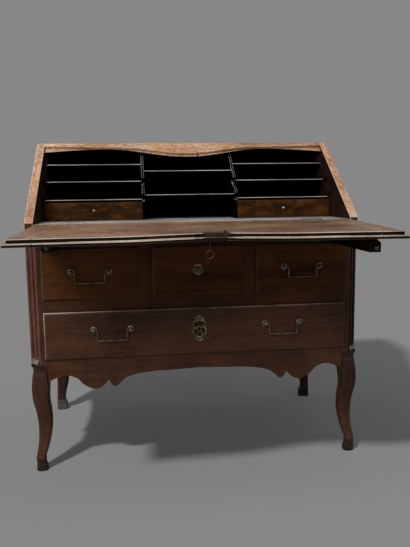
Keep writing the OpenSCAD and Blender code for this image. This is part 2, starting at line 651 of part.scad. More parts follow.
// Fall: the rebated panel closes between the cheeks, the lip closes over them.
// Drawn with the pivot at the origin, the inner face at z = 0 and the front towards -y
module fall_outline(x, inset, heel) {
    pts = [for (i = [-24:24]) let (u = x * i / 24) [u, -edge_t(min(abs(u), fall_in)) - inset]];
    polygon(concat(pts, [[x, -heel], [-x, -heel]]));
}
module fall_solid() difference() {
    union() {
        translate([0, 0, -fall_t]) linear_extrude(fall_t) fall_outline(fall_in, 0, joint_gap);
        translate([0, 0, -fall_t]) linear_extrude(lip_t) fall_outline(lip_x, lip_top, lip_heel);
    }
    both() translate([hinge_x - hinge_l / 2, -leaf_l, -leaf_t]) cube([hinge_l, leaf_l + 1, leaf_t + 1]);
    both() translate([hinge_x - hinge_l / 2 - 1, 0, 0]) rotate([0, 90, 0])
        cylinder(r = knuckle_r + 0.4, h = hinge_l + 2, $fn = round_fn);
    translate([lock_x0, -lock_edge - 8, -lock_t]) cube([lock_x1 - lock_x0, lock_l + 8, lock_t + 1]);
    translate([0, -key_t, -fall_t - 1]) cylinder(r = key_r + 0.6, h = fall_t, $fn = round_fn);
}
module fall_board() color("#5f3d2a") place() on_fall() intersection() {
    fall_solid();
    box([-fall_in + cleat_w, -case_d, -50], [fall_in - cleat_w, 10, 10]);
}
module fall_cleats() color("#7a4f36") place() on_fall() intersection() {
    fall_solid();
    both() box([fall_in - cleat_w, -case_d, -50], [half_w, 10, 10]);
}

// Hinges: the bed's leaf holds the pin in its two outer knuckles
knuckle_l = hinge_l / 3;
module fall_hinge_leaves() color("#7d6a45") place() on_fall() both() translate([hinge_x, 0, 0])
    difference() {
        union() {
            translate([-hinge_l / 2, -leaf_l, -leaf_t]) cube([hinge_l, leaf_l, leaf_t]);
            translate([-knuckle_l / 2, 0, 0]) rotate([0, 90, 0])
                cylinder(r = knuckle_r, h = knuckle_l, $fn = round_fn);
        }
        for (s = [-1, 1]) translate([s * knuckle_l - knuckle_l / 2 - run, 0, 0]) rotate([0, 90, 0])
            cylinder(r = knuckle_r + 0.4, h = knuckle_l + 2 * run, $fn = round_fn);
        translate([-hinge_l, 0, 0]) rotate([0, 90, 0])
            cylinder(r = pin_r + fit, h = 2 * hinge_l, $fn = round_fn);
        box([-hinge_l, 0, -knuckle_r * 2], [-knuckle_l / 2, 9, knuckle_r]);
        box([knuckle_l / 2, 0, -knuckle_r * 2], [hinge_l, 9, knuckle_r]);
    }
module bed_hinge_leaves() color("#7d6a45") place() translate([0, pivot_y, bed_z]) both()
    translate([hinge_x, 0, 0]) {
        difference() {
            union() {
                translate([-hinge_l / 2, 0, -leaf_t]) cube([hinge_l, leaf_l, leaf_t]);
                for (s = [-1, 1]) translate([s * knuckle_l - knuckle_l / 2, 0, 0]) rotate([0, 90, 0])
                    cylinder(r = knuckle_r, h = knuckle_l, $fn = round_fn);
            }
            translate([-knuckle_l / 2 - run, 0, 0]) rotate([0, 90, 0])
                cylinder(r = knuckle_r + 0.4, h = knuckle_l + 2 * run, $fn = round_fn);
        }
        translate([-hinge_l / 2, 0, 0]) rotate([0, 90, 0]) cylinder(r = pin_r, h = hinge_l, $fn = round_fn);
    }

// Lock in the fall's front edge, its bolt and its key
module fall_lock() color("#6b5c3e") place() on_fall() difference() {
    box([lock_x0, -lock_edge, -lock_t], [lock_x1, -lock_edge + lock_l, 0]);
    box([bolt_x0 - run, -lock_edge - 1, bolt_z - run],
        [bolt_x0 + bolt_w + run, -lock_edge + hook_in + bolt_l + 1, bolt_z + bolt_t + run]);
    box([bolt_x0 - run, -lock_edge - 1, bolt_z],
        [bolt_x0 + bolt_w + run, -lock_edge + hook_in + hook_l + run, 1]);
    translate([0, -key_t, -lock_t - 1]) cylinder(r = key_r + fit, h = lock_t - 3, $fn = round_fn);
}
module lock_bolt() color("#8d8574") place() on_fall() translate([bolt_x0, -lock_edge + hook_in, 0]) {
    box([0, 0, bolt_z], [bolt_w, bolt_l, bolt_z + bolt_t]);
    box([0, 0, bolt_z], [bolt_w, hook_l, hook_h]);
    box([0, -toe_l, hook_h - toe_t], [bolt_w, hook_l, hook_h]);
}
module fall_key() color("#6e6558") place() on_fall() translate([0, -key_t, 0]) {
    ring_z = -fall_t - key_drop + key_ring_r;
    wire = 2.1;
    translate([0, 0, ring_z + key_ring_r - wire]) cylinder(r = key_r,
        h = -ring_z - key_ring_r + wire - 4.5, $fn = round_fn);
    translate([0, 0, ring_z + key_ring_r + 1]) cylinder(r = key_r + 1.4, h = 3, $fn = round_fn);
    translate([0, 0, ring_z]) rotate([90, 0, 0]) rotate_extrude($fn = round_fn)
        translate([key_ring_r - wire, 0]) circle(r = wire, $fn = 24);
}

// Lopers, drawn with their front end at the given distance in front of the case
module loper(x, out) yz_board(x - loper_w / 2, x + loper_w / 2)
    polygon([[-out, loper_z], [-out, loper_top - loper_step_h], [-out + loper_step_l, loper_top],
        [-out + loper_l, loper_top], [-out + loper_l, loper_z]]);
module loper_knob(x, out) translate([x, -out, (loper_z + loper_top - loper_step_h) / 2])
    turned_knob(loper_knob_r);
module left_loper() color("#3a241a") place() loper(-loper_x, left_out);
module right_loper() color("#3a241a") place() loper(loper_x, right_out);
module left_loper_knob() color("#57473a") place() loper_knob(-loper_x, left_out);
module right_loper_knob() color("#57473a") place() loper_knob(loper_x, right_out);

front_left_post();
front_right_post();
rear_left_post();
rear_right_post();
left_side_panel();
right_side_panel();
left_cheek();
right_cheek();
top_board();
top_rail();
upper_back();
lower_back();
writing_bed();
loper_rail();
mid_rail();
front_apron();
muntins();
upper_dust_board();
case_bottom();
drawer_guides();
loper_channels();
unit_sides();
unit_dividers();
unit_top();
bay_shelves();
centre_shelves();
left_small_front();
left_small_box();
left_small_knob();
right_small_front();
right_small_box();
right_small_knob();
left_drawer_front();
left_drawer_box();
centre_drawer_front();
centre_drawer_box();
right_drawer_front();
right_drawer_box();
long_drawer_front();
long_drawer_box();
centre_drawer_lock();
long_drawer_lock();
left_bail_posts();
left_bail();
right_bail_posts();
right_bail();
long_bail_posts();
long_left_bail();
long_right_bail();
fall_board();
fall_cleats();
fall_hinge_leaves();
bed_hinge_leaves();
fall_lock();
lock_bolt();
fall_key();
left_loper();
left_loper_knob();
right_loper();
right_loper_knob();
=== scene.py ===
"""Looks of a slant-front desk on cabriole legs, dressed round its packed construction model."""

import logging
import math
from dataclasses import dataclass
from enum import Enum, IntEnum
from typing import Callable, Iterable, Optional, Sequence

import bmesh
import bpy
from mathutils import Matrix, Vector

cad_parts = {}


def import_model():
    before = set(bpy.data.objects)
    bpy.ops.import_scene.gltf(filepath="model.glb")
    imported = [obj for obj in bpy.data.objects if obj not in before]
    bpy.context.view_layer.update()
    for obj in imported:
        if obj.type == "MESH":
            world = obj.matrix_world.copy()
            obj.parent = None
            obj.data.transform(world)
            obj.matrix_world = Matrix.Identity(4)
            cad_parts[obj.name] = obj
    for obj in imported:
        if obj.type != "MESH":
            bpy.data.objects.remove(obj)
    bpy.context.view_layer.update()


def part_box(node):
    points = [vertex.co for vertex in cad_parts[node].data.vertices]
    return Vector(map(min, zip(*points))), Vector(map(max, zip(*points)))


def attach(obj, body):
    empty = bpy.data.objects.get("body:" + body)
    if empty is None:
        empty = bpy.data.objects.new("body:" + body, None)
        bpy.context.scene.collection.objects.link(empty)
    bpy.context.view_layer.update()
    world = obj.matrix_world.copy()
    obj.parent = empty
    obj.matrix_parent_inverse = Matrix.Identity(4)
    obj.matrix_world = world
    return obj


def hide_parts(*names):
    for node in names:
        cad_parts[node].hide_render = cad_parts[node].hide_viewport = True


Shape = bmesh.types.BMesh
Face = bmesh.types.BMFace
Edge = bmesh.types.BMEdge
Vert = bmesh.types.BMVert
Material = bpy.types.Material
Socket = bpy.types.NodeSocket
Colour = tuple[float, float, float]
Profile = Sequence[tuple[float, float]]
Thickness = Callable[[float], tuple[float, float]]
FaceTest = Callable[[Face], bool]
EdgeTest = Callable[[Edge], bool]

MM = 0.001
WELD = 1e-5
SIDES = ("left", "right")
FORWARD = Vector((0.0, -1.0, 0.0))
SLANT = math.radians(38)
SLANT_OUT = Vector((0.0, -math.sin(SLANT), math.cos(SLANT)))
log = logging.getLogger("desk")


class Grain(Enum):
    """Direction in which the wood's grain runs."""

    ACROSS = "x"
    DEEP = "y"
    UPRIGHT = "z"
    SLANTED = "slant"


class Graph:
    """A node graph with short ways to fill it."""

    def __init__(self, tree: bpy.types.NodeTree) -> None:
        """Empties the tree."""
        self.tree = tree
        tree.nodes.clear()

    def add(self, kind: str, values: Optional[dict] = None, **settings: object) -> bpy.types.Node:
        """Adds a node.

        Args:
            kind: the node's type name.
            values: what each input gets, a constant or another node's socket.
            settings: the node's own properties.

        Returns:
            The new node.
        """
        node = self.tree.nodes.new(kind)
        for key, value in settings.items():
            setattr(node, key, value)
        for key, value in (values or {}).items():
            self.feed(node.inputs[key], value)
        return node

    def feed(self, socket: Socket, value: object) -> None:
        """Gives an input a constant or a link.

        Args:
            socket: the input.
            value: a number, a colour or the socket that drives it.
        """
        if isinstance(value, Socket):
            self.tree.links.new(value, socket)
            return
        if isinstance(value, (tuple, list)) and len(value) == 3 and socket.type == "RGBA":
            value = (*value, 1.0)
        socket.default_value = value

    def place(self) -> Socket:
        """Returns the object coordinates."""
        return self.add("ShaderNodeTexCoord").outputs["Object"]

    def stretched(self, grain: Grain, along: float, offset: float = 0.0) -> Socket:
        """Coordinates squeezed along the grain, so that a noise read on them runs with it.

        Args:
            grain: the grain's direction.
            along: scale along the grain against a scale of 1 across it.
            offset: shift that makes one board differ from another.

        Returns:
            The stretched coordinates.
        """
        vector = self.place()
        scale = {
            Grain.ACROSS: (along, 1.0, 1.0),
            Grain.DEEP: (1.0, along, 1.0),
            Grain.UPRIGHT: (1.0, 1.0, along),
            Grain.SLANTED: (1.0, along, 1.0),
        }[grain]
        if grain is Grain.SLANTED:
            turn = {"Vector": vector, "Angle": -SLANT}
            vector = self.add("ShaderNodeVectorRotate", turn, rotation_type="X_AXIS").outputs[0]
        shift = (offset, offset * 1.7, offset * 0.6)
        return self.add("ShaderNodeMapping", {"Vector": vector, "Scale": scale, "Location": shift}).outputs[0]

    def noise(
        self, vector: Socket, scale: float, detail: float = 3.0, rough: float = 0.55, warp: float = 0.0
    ) -> Socket:
        """Smooth random values from 0 to 1.

        Args:
            vector: where to read it.
            scale: how many lumps there are in a metre.
            detail: number of finer layers.
            rough: strength of the finer layers.
            warp: distortion.

        Returns:
            The value.
        """
        values = {"Vector": vector, "Scale": scale, "Detail": detail, "Roughness": rough, "Distortion": warp}
        return self.add("ShaderNodeTexNoise", values).outputs[0]

    def ramp(self, value: Socket, low: float, high: float) -> Socket:
        """Spreads the range from low to high smoothly over 0 to 1."""
        values = {"Value": value, "From Min": low, "From Max": high}
        return self.add("ShaderNodeMapRange", values, interpolation_type="SMOOTHSTEP").outputs[0]

    def spread(self, value: Socket, low: float, high: float) -> Socket:
        """Spreads a noise's usual range over low to high."""
        values = {"Value": value, "From Min": 0.3, "From Max": 0.7, "To Min": low, "To Max": high}
        return self.add("ShaderNodeMapRange", values).outputs[0]

    def maths(self, how: str, a: object, b: object = 0.0, clamp: bool = False) -> Socket:
        """Works out two values.

        Args:
            how: the operation's name.
            a: the first value.
            b: the second value.
            clamp: whether the result is held between 0 and 1.

        Returns:
            The result.
        """
        return self.add("ShaderNodeMath", {0: a, 1: b}, operation=how, use_clamp=clamp).outputs[0]

    def times(self, a: object, b: object) -> Socket:
        """Returns a product, held between 0 and 1."""
        return self.maths("MULTIPLY", a, b, True)

    def plus(self, a: object, b: object) -> Socket:
        """Returns a sum, held between 0 and 1."""
        return self.maths("ADD", a, b, True)

    def minus(self, a: object, b: object) -> Socket:
        """Returns a difference, held between 0 and 1."""
        return self.maths("SUBTRACT", a, b, True)

    def vector(self, how: str, a: object, b: object = (0.0, 0.0, 0.0)) -> bpy.types.Node:
        """Returns a node that works out two vectors."""
        return self.add("ShaderNodeVectorMath", {0: a, 1: b}, operation=how)

    def mix(self, share: object, a: object, b: object) -> Socket:
        """Mixes two colours.

        Args:
            share: how much of the second colour shows.
            a: the first colour.
            b: the second colour.

        Returns:
            The mixed colour.
        """
        node = self.add("ShaderNodeMix", data_type="RGBA")
        for index, value in ((0, share), (6, a), (7, b)):
            self.feed(node.inputs[index], value)
        return node.outputs[2]

    def worn_edges(self, radius: float, strength: float) -> Socket:
        """Where an edge is close, from 0 on a flat to 1 on a sharp edge.

        Args:
            radius: how far the wear reaches, in metres.
            strength: how fast it grows.

        Returns:
            The mask.
        """
        soft = self.add("ShaderNodeBevel", {"Radius": radius}, samples=4).outputs[0]
        flat = self.add("ShaderNodeNewGeometry").outputs["Normal"]
        return self.times(self.minus(1.0, self.vector("DOT_PRODUCT", soft, flat).outputs["Value"]), strength)

    def shade_and_dirt_mask(self, distance: float, low: float, high: float) -> Socket:
        """Painted shade and soiling: how enclosed a spot is, from 0 in the open to 1 in a corner.

        Args:
            distance: how far it looks, in metres.
            low: openness at which the mask reaches 1.
            high: openness at which it falls to 0.

        Returns:
            The mask.
        """
        open_air = self.add("ShaderNodeAmbientOcclusion", {"Distance": distance}, samples=6).outputs["AO"]
        return self.minus(1.0, self.ramp(open_air, low, high))


class Paint(Graph):
    """One material's node graph, round a Principled shader."""

    def __init__(self, name: str) -> None:
        """Starts a material with a shader and an output.

        Args:
            name: the material's name.
        """
        self.material = bpy.data.materials.new(name)
        self.material.use_nodes = True
        super().__init__(self.material.node_tree)
        self.shader = self.add("ShaderNodeBsdfPrincipled")
        self.output = self.add("ShaderNodeOutputMaterial", {"Surface": self.shader.outputs[0]})

    def set(self, **values: object) -> None:
        """Sets inputs of the shader, named with underscores for spaces."""
        for key, value in values.items():
            self.feed(self.shader.inputs[key.replace("_", " ")], value)

    def bump(self, height: Socket, strength: float, distance: float) -> None:
        """Roughens the shader's surface.

        Args:
            height: the relief.
            strength: its strength.
            distance: its depth in metres.
        """
        values = {"Height": height, "Strength": strength, "Distance": distance}
        old = self.shader.inputs["Normal"].links
        if old:
            values["Normal"] = old[0].from_socket
        self.set(Normal=self.add("ShaderNodeBump", values).outputs[0])


@dataclass(frozen=True)
class WoodFinish:
    """Old waxed wood: growth rings, fibres, pores, patches, worn edges, painted shade and soiling in corners.
    """

    name: str
    deep: Colour
    mid: Colour
    pale: Colour
    bare: Colour
    grain: Grain = Grain.ACROSS
    rings: float = 9.0
    ring_scale: float = 4.0
    ring_show: float = 0.6
    patch_show: float = 0.35
    wear: float = 0.5
    wear_reach: float = 0.0025
    scratches: float = 0.2
    dirt: float = 0.5
    gloss: float = 0.42
    shine: float = 0.22
    offset: float = 0.0
    warm: Optional[Colour] = None
    warm_show: float = 0.5
    warm_scale: float = 6.0
    mottle: float = 0.0

    def along(self, g: Graph, squeeze: float, shift: float, *look: float) -> Socket:
        """Returns a noise that runs with the grain, squeezed and shifted."""
        return g.noise(g.stretched(self.grain, squeeze, self.offset + shift), *look)

    def figure(self, g: Graph) -> Socket:
        """Growth rings and streaks along the grain.

        Args:
            g: the graph to build in.

        Returns:
            Their colour.
        """
        rings = g.maths("MULTIPLY", self.along(g, 0.13, 0.0, self.ring_scale, 2.0, 0.4, 0.25), self.rings)
        rings = g.ramp(g.maths("PINGPONG", rings, 1.0), 0.05, 0.95)
        streaks = g.ramp(self.along(g, 0.03, 3.0, 70.0, 4.0, 0.6, 0.1), 0.3, 0.72)
        tone = g.plus(g.times(rings, self.ring_show * 0.55), g.times(streaks, 0.45))
        return g.mix(tone, self.deep, self.mid)

    def spots(self, g: Graph) -> Socket:
        """Dark mottling, fine and coarse.

        Args:
            g: the graph to build in.

        Returns:
            The mask, 1 in a spot.
        """
        fine = g.ramp(self.along(g, 0.45, 11.0, 120.0, 5.0, 0.78, 0.6), 0.45, 0.62)
        coarse = g.ramp(self.along(g, 0.3, 13.0, 34.0, 4.0, 0.7, 0.4), 0.48, 0.68)
        return g.times(g.plus(fine, g.times(coarse, 0.6)), self.mottle * 0.8)

    def scratch_lines(self, g: Graph) -> Socket:
        """Thin scratches in a few directions.

        Args:
            g: the graph to build in.

        Returns:
            The mask, 1 in a scratch.
        """
        total: object = 0.0
        for turn, scale in ((0.25, 34.0), (1.15, 23.0), (-0.5, 41.0)):
            turning = {"Vector": g.place(), "Angle": turn, "Axis": (0.35, 0.6, 0.72)}
            spun = g.add("ShaderNodeVectorRotate", turning).outputs[0]
            flat = g.add("ShaderNodeMapping", {"Vector": spun, "Scale": (0.12, 1.0, 1.0)}).outputs[0]
            near = g.maths("SUBTRACT", g.noise(flat, scale, 1.0, 0.3), 0.5)
            line = g.ramp(g.maths("ABSOLUTE", near), 0.004, 0.0)
            patch = g.ramp(g.noise(g.place(), scale * 0.4, 1.0), 0.5, 0.62)
            total = g.plus(total, g.times(line, patch))
        return total

    def material(self) -> Material:
        """Builds the finish.

        Returns:
            The material.
        """
        g = Paint(self.name)
        fibre = self.along(g, 0.02, 0.0, 420.0, 3.0, 0.6)
        pores = g.ramp(self.along(g, 0.035, 0.0, 1150.0, 1.0, 0.5), 0.60, 0.68)
        patches = g.ramp(g.noise(g.place(), 5.0, 3.0, 0.55, 0.3), 0.35, 0.7)
        rubbed = g.ramp(g.noise(g.place(), 38.0, 4.0, 0.65), 0.34, 0.66)
        edge = g.times(g.worn_edges(self.wear_reach, 3.2), g.plus(g.times(rubbed, 0.8), 0.2))
        lines = self.scratch_lines(g)
        layers = [(g.ramp(fibre, 0.45, 0.75), 0.35, self.pale), (patches, self.patch_show, self.pale)]
        if self.warm is not None:
            glow = g.ramp(self.along(g, 0.5, 7.0, self.warm_scale, 4.0, 0.62, 0.5), 0.45, 0.7)
            layers.append((glow, self.warm_show, self.warm))
        layers.append((pores, 0.5, self.deep))
        if self.mottle:
            layers.append((self.spots(g), 1.0, self.deep))
        layers += [(lines, self.scratches, self.bare), (edge, self.wear, self.bare)]
        # painted shade and soiling: colour darkened where a spot is enclosed
        layers.append((g.shade_and_dirt_mask(0.022, 0.35, 0.85), self.dirt, tuple(c * 0.35 for c in self.deep)))
        colour = self.figure(g)
        for mask, show, over in layers:
            colour = g.mix(g.times(mask, show), colour, over)
        dull = g.spread(g.noise(g.place(), 24.0, 3.0, 0.6), self.gloss - 0.07, self.gloss + 0.16)
        g.set(Base_Color=colour, Roughness=g.plus(dull, g.times(edge, 0.15)), Specular_IOR_Level=self.shine)
        g.bump(g.minus(fibre, g.times(pores, 0.6)), 0.22, 0.0004)
        g.bump(g.noise(g.place(), 9.0, 2.0, 0.5), 0.35, 0.0016)
        g.bump(g.minus(1.0, lines), 0.12, 0.0003)
        return g.material


@dataclass(frozen=True)
class MetalFinish:
    """Old metal: tarnish in patches, bright rubbed edges, painted shade and soiling in the corners."""

    name: str
    base: Colour
    tarnish: Colour
    bright: Colour
    rough: float = 0.42
    wear: float = 0.6

    def material(self) -> Material:
        """Builds the finish.

        Returns:
            The material.
        """
        g = Paint(self.name)
        patches = g.ramp(g.noise(g.place(), 90.0, 4.0, 0.65, 0.4), 0.38, 0.64)
        colour = g.mix(patches, self.base, self.tarnish)
        colour = g.mix(g.times(g.worn_edges(0.0009, 3.0), self.wear), colour, self.bright)
        # painted shade and soiling: colour darkened in the metal's corners and hollows
        colour = g.mix(g.times(g.shade_and_dirt_mask(0.005, 0.3, 0.9), 0.75), colour, tuple(c * 0.16 for c in self.tarnish))
        grain = g.noise(g.place(), 260.0, 4.0, 0.7)
        rough = g.spread(grain, self.rough - 0.1, self.rough + 0.16)
        g.set(Base_Color=colour, Metallic=0.85, Roughness=rough)
        g.bump(grain, 0.25, 0.0003)
        g.bump(g.noise(g.place(), 60.0, 2.0), 0.3, 0.0006)
        return g.material


def wood(name: str, *colours: Colour, **look: object) -> Material:
    """Returns a wood made of its deep, middle, pale and bare colours."""
    return WoodFinish(f"{name}_wood", *colours, **look).material()


def metal(name: str, *look: object) -> Material:
    """Returns a metal made of its base, tarnished and bright colours."""
    return MetalFinish(name, *look).material()


class Finishes:
    """Every finish of the desk, each made once."""

    BARE: Colour = (0.2, 0.115, 0.07)
    RUST = dict(warm=(0.115, 0.036, 0.008), warm_show=0.5, warm_scale=8.0)

    def __init__(self) -> None:
        """Makes the materials."""
        self.front_woods()
        self.case_woods()
        self.leg_woods()
        self.worn_woods()
        self.inner_woods()
        self.metals()

    def front_woods(self) -> None:
        """Makes the woods of the drawers' fronts and the apron."""
        drawer = ((0.02, 0.0058, 0.0012), (0.1, 0.032, 0.007), (0.17, 0.064, 0.019), self.BARE)
        low = ((0.016, 0.0052, 0.0022), (0.068, 0.025, 0.0108), (0.12, 0.051, 0.025), self.BARE)
        front = dict(self.RUST, rings=7, ring_show=1.0, wear=0.7, dirt=0.7)
        self.drawer = wood("drawer", *drawer, shine=0.08, gloss=0.46, mottle=0.35, **front)
        self.low_drawer = wood("low_drawer", *low, shine=0.2, gloss=0.44, mottle=0.3, **front)
        self.apron = wood("apron", *low, rings=8, wear=0.5, shine=0.22, offset=5.0, **self.RUST)
        # pale bead colours go on the moulding's top and left facets: painted highlight of light from the
        # upper left, partly worn edge
        bead = dict(rings=3, ring_scale=9.0, shine=0.3, gloss=0.36, patch_show=0.9)
        self.bead = wood(
            "drawer_bead_highlight", (0.022, 0.009, 0.005), (0.06, 0.028, 0.017), (0.17, 0.105, 0.075),
            (0.36, 0.25, 0.18), wear=0.5, **bead,
        )
        self.low_bead_highlight = wood(
            "low_drawer_bead", (0.03, 0.013, 0.008), (0.12, 0.062, 0.04), (0.52, 0.37, 0.29),
            (0.62, 0.47, 0.37), wear=0.6, **bead,
        )

    def case_woods(self) -> None:
        """Makes the woods of the carcase and the lopers."""
        case = ((0.019, 0.007, 0.0027), (0.064, 0.0245, 0.0098), (0.098, 0.043, 0.0205), self.BARE)
        upright = dict(grain=Grain.UPRIGHT)
        self.case = wood("case", *case, rings=8, wear=0.45, shine=0.09, **self.RUST)
        self.side = wood("side", *case, rings=11, ring_show=0.9, shine=0.12, **upright, **self.RUST)
        self.case_up = wood(
            "upright_case", (0.024, 0.008, 0.0026), (0.09, 0.032, 0.01), (0.135, 0.056, 0.021), self.BARE,
            wear=0.5, shine=0.07, **upright,
        )
        # darker copy of the side wood for the cheeks' inward faces: painted shade
        self.shaded_cheek_in = wood(
            "shaded_inner_cheek", (0.009, 0.0036, 0.0018), (0.031, 0.0127, 0.0064), (0.047, 0.022, 0.0133),
            self.BARE, rings=6, wear=0.4, shine=0.06, gloss=0.5, **upright,
        )
        self.unit_side = wood(
            "unit_side", (0.008, 0.0032, 0.0016), (0.02, 0.0085, 0.0045), (0.032, 0.015, 0.0085), self.BARE,
            wear=0.2, shine=0.05, gloss=0.6, dirt=0.3, **upright,
        )
        self.loper = wood(
            "loper", (0.006, 0.0025, 0.0012), (0.021, 0.0088, 0.0042), (0.038, 0.0175, 0.0095), self.BARE,
            grain=Grain.DEEP, rings=5, wear=0.7, shine=0.06,
        )

    def leg_woods(self) -> None:
        """Makes the woods of the posts, legs and hoofs."""
        # post is a brighter copy for the left post's fluted corner, lit from the left, and shade_post a
        # darker copy for the right one: painted light and shade
        self.post = wood(
            "post", (0.032, 0.009, 0.0042), (0.15, 0.048, 0.026), (0.32, 0.15, 0.105), (0.56, 0.34, 0.27),
            grain=Grain.UPRIGHT, rings=5, wear=0.65, shine=0.1, gloss=0.42, dirt=0.8,
        )
        self.shade_post = wood(
            "shaded_post", (0.014, 0.004, 0.0014), (0.06, 0.018, 0.0062), (0.12, 0.045, 0.02),
            (0.24, 0.12, 0.07), grain=Grain.UPRIGHT, rings=5, wear=0.6, shine=0.06, gloss=0.46, dirt=0.8,
        )
        self.leg = wood(
            "leg", (0.013, 0.0046, 0.0024), (0.064, 0.0235, 0.0118), (0.15, 0.064, 0.037), (0.3, 0.18, 0.13),
            grain=Grain.UPRIGHT, rings=4, wear=0.0, scratches=0.0, shine=0.26, gloss=0.28, wear_reach=0.004,
            mottle=0.45,
        )
        # near-white toe colours: painted glints on partly worn carving, with painted shade darkening the
        # crevices
        self.toe = wood(
            "toe", (0.02, 0.011, 0.008), (0.12, 0.078, 0.06), (0.85, 0.78, 0.72), (0.92, 0.86, 0.8),
            rings=5, ring_scale=90.0, ring_show=1.2, wear=0.7, wear_reach=0.002, mottle=0.8, shine=0.5,
            gloss=0.22, dirt=1.0,
        )
        horn = dict(rings=3, ring_scale=26.0, ring_show=1.0, wear=0.7, wear_reach=0.004, gloss=0.36)
        self.hoof = wood(
            "hoof", (0.0014, 0.0008, 0.0005), (0.01, 0.006, 0.004), (0.06, 0.04, 0.029), (0.34, 0.26, 0.2),
            shine=0.25, mottle=0.5, **horn,
        )
        self.pale_hoof = wood(
            "pale_hoof", (0.03, 0.024, 0.019), (0.1, 0.082, 0.068), (0.2, 0.17, 0.145), (0.36, 0.32, 0.28),
            shine=0.3, **horn,
        )

    def worn_woods(self) -> None:
        """Makes the rubbed woods of the slant, fall and bed, the bed's whitish tone partly painted sheen."""
        slant = ((0.19, 0.078, 0.034), (0.76, 0.43, 0.235), (0.92, 0.64, 0.43))
        worn = dict(
            warm=(0.66, 0.3, 0.115), warm_show=0.5, warm_scale=14.0, wear=0.9, wear_reach=0.004,
            scratches=0.7, patch_show=0.6, dirt=0.2, shine=0.3, gloss=0.42, mottle=0.95,
        )
        self.worn = wood("worn_rail", *slant, (0.74, 0.56, 0.46), rings=8, **worn)
        self.worn_slant = wood(
            "worn_cheek", *slant, (0.72, 0.55, 0.46), grain=Grain.SLANTED, rings=6, offset=2.0, **worn
        )
        self.rubbed = wood(
            "rubbed_arris", (0.33, 0.2, 0.14), (0.56, 0.4, 0.32), (0.72, 0.57, 0.5), (0.82, 0.7, 0.62),
            rings=5, patch_show=0.6, dirt=0.2, gloss=0.4,
        )
        panel = ((0.045, 0.021, 0.011), (0.265, 0.142, 0.074), (0.52, 0.33, 0.21), (0.6, 0.46, 0.35))
        fall = dict(
            warm=(0.34, 0.155, 0.065), warm_show=0.4, warm_scale=9.0, mottle=0.6, wear=0.75, wear_reach=0.003,
            patch_show=0.5, scratches=0.6, dirt=0.35, shine=0.14, gloss=0.42,
        )
        self.fall = wood("fall", *panel, rings=10, **fall)
        self.cleat = wood("cleat", *panel, grain=Grain.DEEP, rings=6, offset=1.3, **fall)
        # near-black colour for the fall's edge faces: painted shade
        self.fall_edge_shade = wood(
            "fall_edge_shade", (0.003, 0.0016, 0.001), (0.01, 0.0052, 0.003), (0.022, 0.013, 0.008),
            (0.16, 0.11, 0.07), wear=0.3, wear_reach=0.0018, scratches=0.25,
            warm=(0.09, 0.035, 0.012), warm_show=0.3, shine=0.05,
        )
        # pale colour for the fall's up-facing front roundings: painted highlight on worn edges
        self.fall_arris_highlight = wood(
            "fall_arris_highlight", (0.18, 0.12, 0.08), (0.46, 0.35, 0.27), (0.76, 0.64, 0.54), (0.85, 0.75, 0.66),
            rings=6, patch_show=0.7, dirt=0.2, gloss=0.36,
        )
        # whitish bed colour: painted sheen of light at a grazing angle, partly bleached wood
        self.bed = wood(
            "bed", (0.17, 0.145, 0.13), (0.54, 0.5, 0.475), (0.8, 0.77, 0.75), (0.84, 0.82, 0.8),
            mottle=0.4, rings=6, scratches=0.5, shine=0.5, gloss=0.34, patch_show=0.6, dirt=0.35,
        )

    def inner_woods(self) -> None:
        """Makes the woods of the interior, near black as painted shade, and the plain boards."""
        # near-black interior colours: painted shade of the deep pigeonholes and the inside of the case
        dark = (
            (0.0006, 0.0004, 0.0003), (0.0016, 0.001, 0.0007), (0.0028, 0.0017, 0.0012), (0.02, 0.015, 0.011),
        )
        unlit = dict(wear=0.2, shine=0.02, gloss=0.75)
        self.inner = wood("interior", *dark, **unlit)
        self.shade_black_inner_up = wood("interior_upright", *dark, grain=Grain.UPRIGHT, **unlit)
        # pale colour for the up-facing front roundings of shelves and dividers: painted highlight on worn
        # edges
        self.shelf_edge_highlight = wood(
            "shelf_edge_highlight", (0.1, 0.08, 0.062), (0.32, 0.27, 0.225), (0.7, 0.64, 0.58), (0.75, 0.7, 0.64),
            wear=0.6, gloss=0.34, dirt=0.2, patch_show=0.7,
        )
        self.small = wood(
            "small_drawer", (0.0095, 0.0032, 0.0006), (0.042, 0.0165, 0.0033), (0.072, 0.031, 0.0075),
            (0.16, 0.09, 0.045), rings=13, ring_scale=7.0, ring_show=1.0, wear=0.5, shine=0.06, gloss=0.4,
            warm=(0.13, 0.043, 0.005), warm_show=0.65, warm_scale=34.0,
        )
        bare = (0.42, 0.32, 0.23)
        plain = dict(wear=0.5, gloss=0.62, shine=0.2, dirt=0.75)
        self.raw = wood(
            "raw", (0.1, 0.06, 0.035), (0.22, 0.145, 0.09), (0.31, 0.215, 0.145), bare,
            grain=Grain.DEEP, **plain,
        )
        self.back = wood(
            "back", (0.055, 0.035, 0.022), (0.12, 0.08, 0.052), (0.18, 0.125, 0.088), bare, rings=12, **plain
        )

